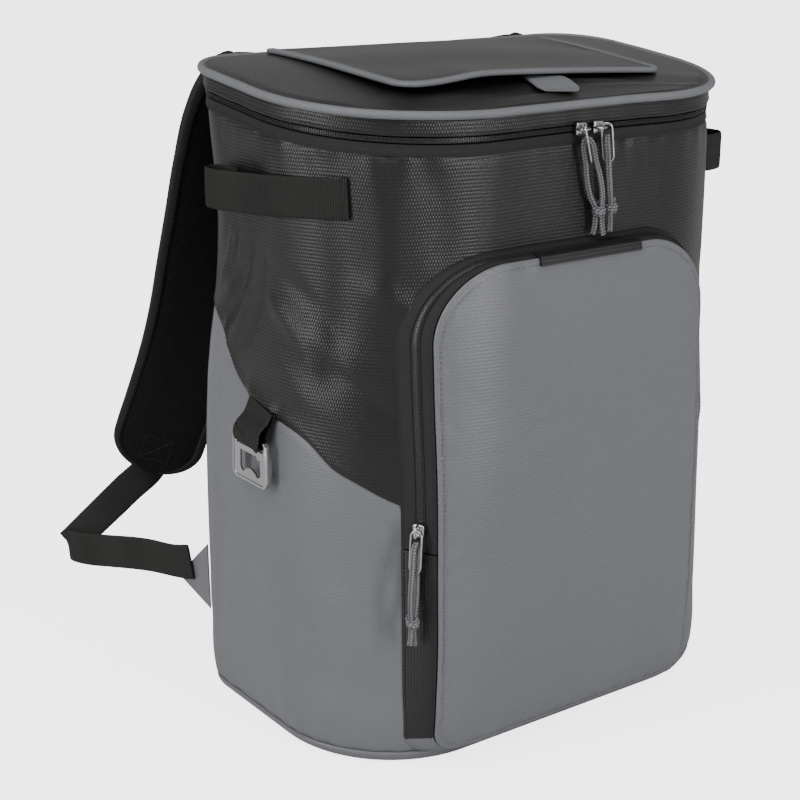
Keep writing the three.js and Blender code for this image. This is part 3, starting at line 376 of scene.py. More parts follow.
        def ends(i):
            bx, bz = self.pocket(POCKET_BODY, i)
            px, pz = self.pocket(POCKET_PANEL, i)
            edge_y = (self.wall_y(px, pz) - self.pocket_depth(pz) + POCKET_DEPTH["panel"]
                      + FOLD_GAP)
            on_wall = np.stack([bx, self.wall_y(bx, bz) - FOLD_GAP, bz], -1)
            return on_wall, np.stack([px, edge_y, pz], -1)

        on, edge = ends(index)
        on0, edge0 = ends(index - 0.3)
        on1, edge1 = ends(index + 0.3)
        normal = unit(np.cross(edge - on, on1 + edge1 - on0 - edge0))
        across = np.asarray(across, float)[..., None]
        p = on + (edge - on) * across + normal * np.asarray(out, float)[..., None]
        p[..., 1] = np.minimum(p[..., 1], self.wall_y(p[..., 0], p[..., 2]) - FOLD_GAP)
        return p, normal

    def crease(self, s, z):
        """How far the body's fabric stands out of its plain form."""
        total = np.zeros(np.broadcast(s, z).shape)
        for s0, z0, s1, z1, width, height in CREASES:
            d = np.array([s1 - s0, z1 - z0])
            size = np.hypot(*d)
            d = d / size
            t = (s - s0) * d[0] + (z - z0) * d[1]
            across = (s - s0) * -d[1] + (z - z0) * d[0]
            bend = across - 0.06 * size * np.sin(np.clip(t / size, 0, 1) * math.pi)
            fade = ease((t + 12) / 24) * ease((size + 12 - t) / 24)
            total += height * fade * np.exp(-(bend / width) ** 2)
        broad = 0.9 * np.sin(s / 21 + 0.4 * np.sin(z / 60)) + 0.5 * np.sin(s / 9.5 + z / 95)
        return total + 0.45 * broad * ease((z - 20) / 60)


# ---- Mesh helpers: rows are in millimetres, meshes in metres ----

def make_mesh(name, points, faces, uv_loops, material):
    mesh = bpy.data.meshes.new(name)
    mesh.from_pydata((np.asarray(points) * MM).tolist(), [], faces)
    layer = mesh.uv_layers.new(name="cloth")
    layer.data.foreach_set("uv", (np.asarray(uv_loops) * MM).ravel())
    mesh.polygons.foreach_set("use_smooth", [True] * len(mesh.polygons))
    mesh.set_sharp_from_angle(angle=math.radians(50))
    mesh.materials.append(material)
    mesh.update()
    obj = bpy.data.objects.new(name, mesh)
    bpy.context.scene.collection.objects.link(obj)
    return obj


def skin(name, rows, material, uv=None, closed=False):
    """Closed piece from loops that all have the same number of points.
    uv holds one more row and column than the loops, for the seam of the loops."""
    rows = np.asarray(rows, float)
    n, m = rows.shape[:2]
    i, j = np.meshgrid(np.arange(n if closed else n - 1), np.arange(m), indexing="ij")
    i2, j2 = (i + 1) % n, (j + 1) % m
    quads = np.stack([i * m + j, i2 * m + j, i2 * m + j2, i * m + j2], -1).reshape(-1, 4)
    points = rows.reshape(-1, 3)
    if uv is None:
        along = np.linalg.norm(np.roll(rows, -1, 0) - rows, axis=2).mean(1)
        around = np.linalg.norm(np.roll(rows, -1, 1) - rows, axis=2).mean(0)
        u = np.concatenate([[0], np.cumsum(along)])
        v = np.concatenate([[0], np.cumsum(around)])
        uv = np.stack(np.meshgrid(u, v, indexing="ij"), -1)
    corners = [uv[i, j], uv[i + 1, j], uv[i + 1, j + 1], uv[i, j + 1]]
    loops = list(np.stack(corners, 2).reshape(-1, 4, 2))
    a, b, c, d = (points[quads[:, k]] for k in range(4))
    volume = (a * np.cross(b, c)).sum() + (a * np.cross(c, d)).sum()
    faces = quads.tolist()
    if not closed:
        first, last = list(range(m)), list(range((n - 1) * m, n * m))
        volume += cap_volume(points, first[::-1]) + cap_volume(points, last)
        faces += [first[::-1], last]
        loops += [uv[0, :m][::-1], uv[n - 1, :m]]
    if volume < 0:
        faces = [face[::-1] for face in faces]
        loops = [loop[::-1] for loop in loops]
    return make_mesh(name, points, faces, np.concatenate(loops), material)


def cap_volume(points, ring):
    """Six times the signed volume between the origin and an end face."""
    p = points[ring]
    return (p[0] * np.cross(p[1:-1], p[2:])).sum()


def settled(obj):
    """New mesh of an object with its modifiers applied."""
    bpy.context.view_layer.update()
    graph = bpy.context.evaluated_depsgraph_get()
    return bpy.data.meshes.new_from_object(obj.evaluated_get(graph))


def flat_uv(rows, axes):
    """Cloth coordinates of loops, taken straight from two of their axes."""
    uv = np.concatenate([rows, rows[:1]])[:, :, axes]
    return np.concatenate([uv, uv[:, :1]], 1)


def rounded(angle, power):
    """Cosine and sine of an angle, pushed out toward a square's corners."""
    c, s = math.cos(angle), math.sin(angle)
    return math.copysign(abs(c) ** power[0], c), math.copysign(abs(s) ** power[1], s)


WEBBING_STEP = 0.36  # distance between loops of webbing, in mm
RIB_DEPTH = 0.2
WEBBING_EDGE = 0.3  # how far the flat face stops short of the edge, as a share of the thickness


def ribbon(name, path, side, width, thick, material, across=15):
    """Flat webbing with cross ribs along an evenly spaced path. side is its width's direction."""
    rib = bpy.context.scene.bag_sizes.rib * 1000
    path = np.asarray(path, float)
    along = unit(np.gradient(path, axis=0))
    side = unit(side - along * (side * along).sum(1, keepdims=True))
    up = np.cross(along, side)
    run = run_of(path)
    wave = RIB_DEPTH * (np.abs(np.sin(math.pi * run / rib)) - 0.6)
    shares = np.linspace(-1, 1, across)
    flat = width / 2 - thick * WEBBING_EDGE
    crown = 1 - 0.35 * np.abs(shares) ** 8
    face = thick / 2 + wave
    top = [path + side * (s * flat) + up * (face * q)[:, None] for s, q in zip(shares, crown)]
    low = [path + side * (s * flat) - up * (face * q)[:, None] for s, q in zip(-shares, crown)]
    edge = side * (width / 2 + wave * 0.8)[:, None]
    return skin(name, np.stack([*top, path + edge, *low, path - edge], 1), material)


def tube(name, path, radius, material, sides=14, closed=False, rough=None):
    """Round tube along a path. rough(run, angle) adds to its radius."""
    path = np.asarray(path, float)
    n = len(path)
    if closed:
        along = unit(np.roll(path, -1, 0) - np.roll(path, 1, 0))
    else:
        along = unit(np.gradient(path, axis=0))
    up = np.array([0, 0, 1.0]) if abs(along[0, 2]) < 0.8 else np.array([0, 1.0, 0])
    ups = np.zeros((n, 3))
    for i in range(n):
        up = up - along[i] * up.dot(along[i])
        up = up / np.linalg.norm(up)
        ups[i] = up
    sides_dir = np.cross(along, ups)
    angle = np.linspace(0, 2 * math.pi, sides, endpoint=False)
    run = run_of(path)
    r = np.full((n, sides), float(radius))
    if rough is not None:
        r = r + rough(run[:, None], angle[None, :])
    rows = (path[:, None] + sides_dir[:, None] * (r * np.cos(angle))[..., None]
            + ups[:, None] * (r * np.sin(angle))[..., None])
    return skin(name, rows, material, closed=closed)


def place(obj, body="bag", replaces=()):
    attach(obj, body)
    if replaces:
        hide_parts(*replaces)
    return obj


def soft_copy(node, name, material, bevel, segments=2):
    """Copy of a hard CAD node with merged points and rounded edges."""
    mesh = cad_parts[node].data.copy()
    mesh.name = name
    shape = bmesh.new()
    shape.from_mesh(mesh)
    bmesh.ops.remove_doubles(shape, verts=shape.verts, dist=1e-5)
    bmesh.ops.dissolve_limit(shape, angle_limit=math.radians(1), verts=shape.verts,
                             edges=shape.edges)
    shape.to_mesh(mesh)
    shape.free()
    mesh.materials.clear()
    mesh.materials.append(material)
    obj = bpy.data.objects.new(name, mesh)
    bpy.context.scene.collection.objects.link(obj)
    rounding = obj.modifiers.new("rounding", "BEVEL")
    rounding.width = bevel * MM
    rounding.segments = segments
    rounding.limit_method = "ANGLE"
    rounding.angle_limit = math.radians(35)
    final = settled(obj)
    obj.modifiers.clear()
    obj.data = final
    final.polygons.foreach_set("use_smooth", [True] * len(final.polygons))
    final.set_sharp_from_angle(angle=math.radians(40))
    return obj


# ---- Small shapes repeated along a path ----

def row_tree():
    """Node tree that repeats a small rounded bar along a line of edges."""
    tree = bpy.data.node_groups.new("bars along a path", "GeometryNodeTree")
    face = tree.interface
    face.new_socket("Geometry", in_out="INPUT", socket_type="NodeSocketGeometry")
    for name in ("Pitch", "Length", "Breadth", "Height"):
        face.new_socket(name, in_out="INPUT", socket_type="NodeSocketFloat")
    face.new_socket("Slant", in_out="INPUT", socket_type="NodeSocketFloat")
    face.new_socket("Finish", in_out="INPUT", socket_type="NodeSocketMaterial")
    face.new_socket("Geometry", in_out="OUTPUT", socket_type="NodeSocketGeometry")
    add = tree.nodes.new
    link = tree.links.new
    given, result = add("NodeGroupInput"), add("NodeGroupOutput")
    curve, even = add("GeometryNodeMeshToCurve"), add("GeometryNodeResampleCurve")
    even.mode = "LENGTH"
    bar = add("GeometryNodeMeshUVSphere")
    bar.inputs["Segments"].default_value = 8
    bar.inputs["Rings"].default_value = 5
    bar.inputs["Radius"].default_value = 0.5
    tangent, out = add("GeometryNodeInputTangent"), add("GeometryNodeInputNamedAttribute")
    out.data_type = "FLOAT_VECTOR"
    out.inputs["Name"].default_value = "out"
    along, up = add("FunctionNodeAlignRotationToVector"), add("FunctionNodeAlignRotationToVector")
    along.axis, up.axis, up.pivot_axis = "X", "Z", "X"
    turn, slant = add("FunctionNodeRotateRotation"), add("FunctionNodeAxisAngleToRotation")
    turn.rotation_space = "LOCAL"
    slant.inputs["Axis"].default_value = (0, 0, 1)
    size, copies = add("ShaderNodeCombineXYZ"), add("GeometryNodeInstanceOnPoints")
    real, finish = add("GeometryNodeRealizeInstances"), add("GeometryNodeSetMaterial")
    smooth = add("GeometryNodeSetShadeSmooth")
    link(given.outputs["Geometry"], curve.inputs["Mesh"])
    link(curve.outputs["Curve"], even.inputs["Curve"])
    link(given.outputs["Pitch"], even.inputs["Length"])
    link(even.outputs["Curve"], copies.inputs["Points"])
    link(bar.outputs["Mesh"], copies.inputs["Instance"])
    link(tangent.outputs["Tangent"], along.inputs["Vector"])
    link(along.outputs["Rotation"], up.inputs["Rotation"])
    link(out.outputs["Attribute"], up.inputs["Vector"])
    link(up.outputs["Rotation"], turn.inputs["Rotation"])
    link(given.outputs["Slant"], slant.inputs["Angle"])
    link(slant.outputs["Rotation"], turn.inputs["Rotate By"])
    link(turn.outputs["Rotation"], copies.inputs["Rotation"])
    for name, axis in (("Length", "X"), ("Breadth", "Y"), ("Height", "Z")):
        link(given.outputs[name], size.inputs[axis])
    link(size.outputs["Vector"], copies.inputs["Scale"])
    link(copies.outputs["Instances"], real.inputs["Geometry"])
    link(real.outputs["Geometry"], smooth.inputs["Geometry"])
    link(smooth.outputs["Geometry"], finish.inputs["Geometry"])
    link(given.outputs["Finish"], finish.inputs["Material"])
    link(finish.outputs["Geometry"], result.inputs["Geometry"])
    return tree


def bars(name, lines, material, pitch, size, slant=0.0):
    """Bars along lines: each line is (points, outward directions) in millimetres."""
    tree = bpy.data.node_groups.get("bars along a path") or row_tree()
    points, edges, outs = [], [], []
    for line, out in lines:
        start = len(points)
        points += list(np.asarray(line) * MM)
        outs += list(np.broadcast_to(out, np.shape(line)))
        edges += [(start + k, start + k + 1) for k in range(len(line) - 1)]
    mesh = bpy.data.meshes.new(name)
    mesh.from_pydata([tuple(p) for p in points], edges, [])
    mesh.attributes.new("out", "FLOAT_VECTOR", "POINT").data.foreach_set("vector", np.ravel(outs))
    obj = bpy.data.objects.new(name, mesh)
    bpy.context.scene.collection.objects.link(obj)
    rows = obj.modifiers.new("rows", "NODES")
    rows.node_group = tree
    keys = {s.name: s.identifier for s in tree.interface.items_tree if s.in_out == "INPUT"}
    values = {"Pitch": pitch * MM, "Length": size[0] * MM, "Breadth": size[1] * MM,
              "Height": size[2] * MM, "Slant": slant, "Finish": material}
    for key, value in values.items():
        rows[keys[key]] = value
    final = settled(obj)
    obj.modifiers.clear()
    obj.data = final
    if not len(final.polygons):
        raise RuntimeError(name + " came out empty")
    return obj


# ---- Finishes ----

def node_group(name, inputs, outputs):
    group = bpy.data.node_groups.new(name, "ShaderNodeTree")
    for key, kind, value in inputs:
        socket = group.interface.new_socket(key, in_out="INPUT", socket_type=kind)
        if value is not None:
            socket.default_value = value
    for key, kind in outputs:
        group.interface.new_socket(key, in_out="OUTPUT", socket_type=kind)
    return group, group.nodes.new("NodeGroupInput"), group.nodes.new("NodeGroupOutput")


def calc(tree, operation, a, b=None):
    """Math node on sockets or numbers."""
    node = tree.nodes.new("ShaderNodeMath")
    node.operation = operation
    for k, value in enumerate((a, b)):
        if value is None:
            continue
        if isinstance(value, (int, float)):
            node.inputs[k].default_value = value
        else:
            tree.links.new(value, node.inputs[k])
    return node.outputs[0]


def weave_group():
    """Threads of a cloth: height of a woven grid, and of ribs that run across the piece."""
    name = "woven threads"
    if name in bpy.data.node_groups:
        return bpy.data.node_groups[name]
    group, given, result = node_group(
        name,
        [("Vector", "NodeSocketVector", None), ("Pitch U", "NodeSocketFloat", 0.0017),
         ("Pitch V", "NodeSocketFloat", 0.0015), ("Offset", "NodeSocketFloat", 0.5)],
        [("Height", "NodeSocketFloat"), ("Ribs", "NodeSocketFloat"), ("Twill", "NodeSocketFloat"),
         ("Knit", "NodeSocketFloat")])
    link = group.links.new
    split = group.nodes.new("ShaderNodeSeparateXYZ")
    link(given.outputs["Vector"], split.inputs[0])
    u = calc(group, "DIVIDE", split.outputs["X"], given.outputs["Pitch U"])
    v = calc(group, "DIVIDE", split.outputs["Y"], given.outputs["Pitch V"])
    row = calc(group, "FLOOR", v)
    shifted = calc(group, "ADD", u, calc(group, "MULTIPLY", row, given.outputs["Offset"]))
    warp = calc(group, "ABSOLUTE", calc(group, "SINE", calc(group, "MULTIPLY", shifted, math.pi)))
    weft = calc(group, "ABSOLUTE", calc(group, "SINE", calc(group, "MULTIPLY", v, math.pi)))
    link(calc(group, "MULTIPLY", warp, weft), result.inputs["Height"])
    ribs = calc(group, "ABSOLUTE", calc(group, "SINE", calc(group, "MULTIPLY", u, math.pi)))
    link(ribs, result.inputs["Ribs"])
    diagonal = calc(group, "SINE", calc(group, "MULTIPLY", calc(group, "ADD", u, v), 2 * math.pi))
    link(calc(group, "ADD", calc(group, "MULTIPLY", diagonal, 0.5), 0.5), result.inputs["Twill"])
    every_other = calc(group, "MULTIPLY", calc(group, "FLOORED_MODULO", row, 2.0), 2.0)
    side = calc(group, "SUBTRACT", every_other, 1.0)
    column = calc(group, "FRACT", v)
    leaning = calc(group, "MULTIPLY", calc(group, "MULTIPLY", side, column), 0.8)
    phase = calc(group, "MULTIPLY", calc(group, "ADD", u, leaning), math.pi)
    dash = calc(group, "ABSOLUTE", calc(group, "SINE", phase))
    link(calc(group, "MULTIPLY", dash, weft), result.inputs["Knit"])
    return group


def wear_group():
    """Slow changes of tone and gloss over a piece."""
    name = "slow changes"
    if name in bpy.data.node_groups:
        return bpy.data.node_groups[name]
    group, given, result = node_group(
        name,
        [("Vector", "NodeSocketVector", None), ("Size", "NodeSocketFloat", 9.0)],
        [("Tone", "NodeSocketFloat"), ("Grain", "NodeSocketFloat")])
    for key, scale, detail in (("Tone", 1.0, 3.0), ("Grain", 60.0, 2.0)):
        noise = group.nodes.new("ShaderNodeTexNoise")
        noise.inputs["Detail"].default_value = detail
        group.links.new(given.outputs["Vector"], noise.inputs["Vector"])
        fineness = calc(group, "MULTIPLY", given.outputs["Size"], scale)
        group.links.new(fineness, noise.inputs["Scale"])
        group.links.new(noise.outputs["Fac"], result.inputs[key])
    return group


def finish(name, colour, rough, pattern="Height", pitch=(1.7, 1.5), offset=0.5, depth=0.1,
           contrast=0.25, tone=0.1, rough_change=0.1, metal=0.0, size=9.0, specular=0.5,
           coords="UV"):
    """Procedural finish: base colour, weave relief or a fine noise relief, and slow changes of tone
    and gloss. A pattern's relief also paints the base colour: lighter crowns as painted highlight,
    darker hollows as painted shade.
    """
    if name in bpy.data.materials:
        return bpy.data.materials[name]
    material = bpy.data.materials.new(name)
    material.use_nodes = True
    tree = material.node_tree
    shader = tree.nodes["Principled BSDF"]
    shader.inputs["Metallic"].default_value = metal
    shader.inputs["Specular IOR Level"].default_value = specular
    place_node = tree.nodes.new("ShaderNodeTexCoord")
    wear = tree.nodes.new("ShaderNodeGroup")
    wear.node_tree = wear_group()
    wear.inputs["Size"].default_value = size
    tree.links.new(place_node.outputs["Object"], wear.inputs["Vector"])
    height = wear.outputs["Grain"]
    mask = wear.outputs["Grain"]
    if pattern:
        weave = tree.nodes.new("ShaderNodeGroup")
        weave.node_tree = weave_group()
        weave.inputs["Pitch U"].default_value = pitch[0] * MM
        weave.inputs["Pitch V"].default_value = pitch[1] * MM
        weave.inputs["Offset"].default_value = offset
        tree.links.new(place_node.outputs[coords], weave.inputs["Vector"])
        height = mask = weave.outputs[pattern]
    # Painted light: with a pattern, the relief's crowns are painted lighter (painted highlight) and
    # its hollows darker (painted shade). Without a pattern this is random fine grain.
    relief_shade_and_grain = calc(tree, "MULTIPLY", calc(tree, "SUBTRACT", mask, 0.5), contrast)
    drift = calc(tree, "SUBTRACT", wear.outputs["Tone"], 0.5)
    bright = calc(tree, "ADD", relief_shade_and_grain, calc(tree, "MULTIPLY", drift, 2 * tone))
    mix = tree.nodes.new("ShaderNodeMix")
    mix.data_type = "RGBA"
    mix.inputs["A"].default_value = tuple(c * 0.45 for c in colour) + (1,)
    mix.inputs["B"].default_value = tuple(min(1, c * 1.55) for c in colour) + (1,)
    tree.links.new(calc(tree, "ADD", bright, 0.5), mix.inputs["Factor"])
    tree.links.new(mix.outputs["Result"], shader.inputs["Base Color"])
    change = calc(tree, "MULTIPLY", drift, 2 * rough_change)
    tree.links.new(calc(tree, "ADD", change, rough), shader.inputs["Roughness"])
    relief = tree.nodes.new("ShaderNodeBump")
    relief.inputs["Distance"].default_value = depth * MM
    relief.inputs["Strength"].default_value = 1.0
    tree.links.new(height, relief.inputs["Height"])
    tree.links.new(relief.outputs["Normal"], shader.inputs["Normal"])
    return material


def finishes(scene):
    c = scene.bag_colours
    pitch = scene.bag_sizes.weave * 1000
    rib = scene.bag_sizes.rib * 1000
    # contrast also sets how strongly each relief pattern paints light and shade into the colour:
    # lighter crowns as painted highlight, darker hollows as painted shade.
    return {
        "dark": finish("dark coated fabric", c.dark, 0.33, pitch=(pitch, pitch * 1.3), depth=0.16,
                       contrast=0.35, tone=0.06, rough_change=0.04, size=14, specular=0.42),
        "gray": finish("gray coated fabric", c.gray, 0.38, pitch=(pitch, pitch * 1.3), depth=0.1,
                       contrast=0.12, tone=0.04, rough_change=0.04, size=12, specular=0.42),
        "trim": finish("gray ribbed trim", c.trim, 0.6, "Ribs", (0.9, 0.9), depth=0.09,
                       contrast=0.3, tone=0.08, size=30),
        "tape": finish("zip tape", c.black, 0.75, "Height", (0.8, 0.8), depth=0.06, contrast=0.4),
        "teeth": finish("zip coil", c.black, 0.35, None, depth=0.02, contrast=0.1),
        "webbing": finish("ribbed webbing", c.webbing, 0.7, "Ribs", (rib, rib), depth=0.3,
                          contrast=0.9, tone=0.08, size=25, specular=0.25),
        "mesh": finish("padded mesh", c.mesh, 0.85, "Height", (2.2, 1.9), 0.5, depth=0.3,
                       contrast=0.7, tone=0.1, specular=0.2),
        "binding": finish("twill binding", c.webbing, 0.7, "Twill", (1.8, 3.2), depth=0.2,
                          contrast=0.7, tone=0.1, specular=0.25),
        "plastic": finish("black plastic", c.black, 0.38, None, depth=0.02, contrast=0.1),
        "metal": finish("plated metal", c.metal, 0.24, None, depth=0.004, contrast=0.08, tone=0.04,
                        metal=1.0, rough_change=0.06, size=40),
        # The cord's knit paints the strongest shade, dark in the grooves between its stitches.
        "cord": finish("braided cord", c.cord, 0.8, "Knit", (1.9, 2.83), depth=0.3,
                       contrast=1.3, tone=0.1, size=80, specular=0.25),
        "dark_thread": finish("dark thread", c.dark, 0.6, None, depth=0.02, contrast=0.2),
        "gray_thread": finish("gray thread", c.gray, 0.6, None, depth=0.02, contrast=0.2),
    }


# ---- Operators: one for each piece or group of like pieces ----

class Builder:
    bl_options = {"REGISTER", "UNDO"}

    def execute(self, context):
        self.sizes = context.scene.bag_sizes
        self.form = Form(self.sizes)
        self.looks = finishes(context.scene)
        self.build()
        return {"FINISHED"}


WALL_LEVELS = 84
WALL_TOP_DROP = 24.4  # from the rim down to the wall's top, under the zip
SEAM_FADE = 5  # distance from a seam over which the creases begin, in mm
MOST_RELIEF = 3.2


def wall_piece(form, name, low, high, material, puff):
    """Wall all round between two heights that follow the column, with fabric relief outside."""
    s, column = form.round_trip()
    bottom, top = low(column)[:, None], high(column)[:, None]
    z = bottom + (top - bottom) * np.linspace(0, 1, WALL_LEVELS + 1)
    edge = ease((z - bottom) / SEAM_FADE) * ease((top - z) / SEAM_FADE)
    stand = form.crease(s[:, None], z) * edge + puff(s[:, None], z, bottom, top)
    stand = np.clip(stand, -MOST_RELIEF, MOST_RELIEF)
    outer = form.outline(column[:, None], z) + form.out(column[:, None], z) * stand[..., None]
    inside = bottom + (top - bottom) * np.array([1, 0.66, 0.33, 0])
    rows = np.concatenate([outer, form.outline(column[:, None], inside, -form.wall)], 1)
    v = np.concatenate([z, inside, bottom], 1)
    v = np.concatenate([v, v[:1]])
    u = np.broadcast_to(np.append(s, 2 * s[-1] - s[-2])[:, None], v.shape)
    return skin(name, rows, material, np.stack([u, v], -1), closed=True)


class BAG_OT_body(Builder, bpy.types.Operator):
    """Padded walls of dark and gray fabric, the base and the seams' stitches"""
    bl_idname = "bag.body"
    bl_label = "Body"

    def build(self):
        form, looks = self.form, self.looks
        lower = wall_piece(form, "gray_wall", lambda c: np.full(c.shape, form.base + FOLD_GAP),
                           lambda c: form.seam(c) + 0.2, looks["gray"], self.base_puff)
        upper = wall_piece(form, "dark_wall", lambda c: form.seam(c) + 0.1,
                           lambda c: form.rim_at(c) - WALL_TOP_DROP, looks["dark"], self.lid_puff)
        place(lower, replaces=["body_lower"])
        place(upper, replaces=["body_upper"])
        self.base()
        self.stitches()

    @staticmethod
    def base_puff(s, z, low, high):
        gather = 0.35 * np.sin(s / 3.1 + 1.3 * np.sin(s / 17)) * np.exp(-(z - low) / 9)
        roll = -1.1 * np.exp(-((z - low) / 1.6) ** 2)
        seam = -0.9 * np.exp(-((high - z) / 2.2) ** 2)
        return gather + roll + seam

    @staticmethod
    def lid_puff(s, z, low, high):
        beat = np.sin(s / 4.3 + 1.7 * np.sin(s / 23)) + 0.6 * np.sin(s / 2.6 + 2 * np.sin(s / 31))
        where = 0.6 + 0.4 * np.sin(s / 37)
        gather = 0.55 * beat * where * np.exp(-(high - z) / 11)
        tuck = -0.8 * np.exp(-((high - z) / 2.2) ** 2)
        lap = 0.55 * ease((z - low) / 0.6) + 0.35 * np.exp(-(((z - low) - 4.5) / 2.2) ** 2)
        loop = np.exp(-((s + 237) / 17) ** 6) * (2.6 * np.exp(-((z - low) / 9) ** 2))
        return gather + tuck + lap + loop

    def base(self):
        form = self.form
        column = form.round_trip(360)[1]
        rings = [(0.15, -24), (0.0, -9), (0.35, -5), (1.2, -2.6), (2.6, -1.1), (4.6, -0.2),
                 (6.6, 0.2), (8.2, 0.0), (8.9, -0.8), (8.9, -4.5)]
        rows = np.stack([form.outline(column, np.full(column.shape, z), grow) for z, grow in rings])
        rows = np.concatenate([rows[:1] * [0.4, 0.4, 1], rows, rows[-1:] * [0.4, 0.4, 1]])
        base = skin("base_fabric", rows, self.looks["gray"])
        place(base, replaces=["base_panel"])

    def stitches(self):
        form = self.form
        lines = []
        s = np.linspace(-form.front, form.round - form.front, 500)
        column = form.column_at(s)
        above = 3.2
        z = form.seam(column) + above
        stand = form.crease(s, z) * ease(above / SEAM_FADE) + 0.75
        out = form.out(column, z)
        front = np.abs(form.outline(column, z)[:, 0]) > 0.75 * form.x
        keep = (form.outline(column, z)[:, 1] > -0.9 * form.y) | front
        points = form.outline(column, z) + out * (stand + 0.12)[:, None]
        for part in np.split(np.arange(len(s)), np.where(~keep)[0]):
            part = part[keep[part]]
            if len(part) > 3:
                lines.append((points[part], out[part]))
        seam = bars("seam_stitches", lines, self.looks["dark_thread"], self.sizes.stitch * 1000,
                    (2.3, 0.55, 0.5))
        place(seam)


# Coil of the zips: pitch in mm, and slant of its turns
COIL_PITCH, COIL_SLANT = 1.5, 0.22

# Folds of the lid, in mm: height, y and slope of its line, x that the line starts from,
# thickness, and the x and reach of its strongest part
LID_FOLDS = (
    (1.3, -80, 0.1, 60, 4.5, 75, 45),
    (1.0, -66, 0.22, 50, 4, 50, 36),
    (-0.9, -73, 0.15, 60, 4, 62, 42),
    (0.9, -84, -0.12, -20, 4, -20, 34),
    (0.8, -60, -0.8, -118, 7, -120, 30))


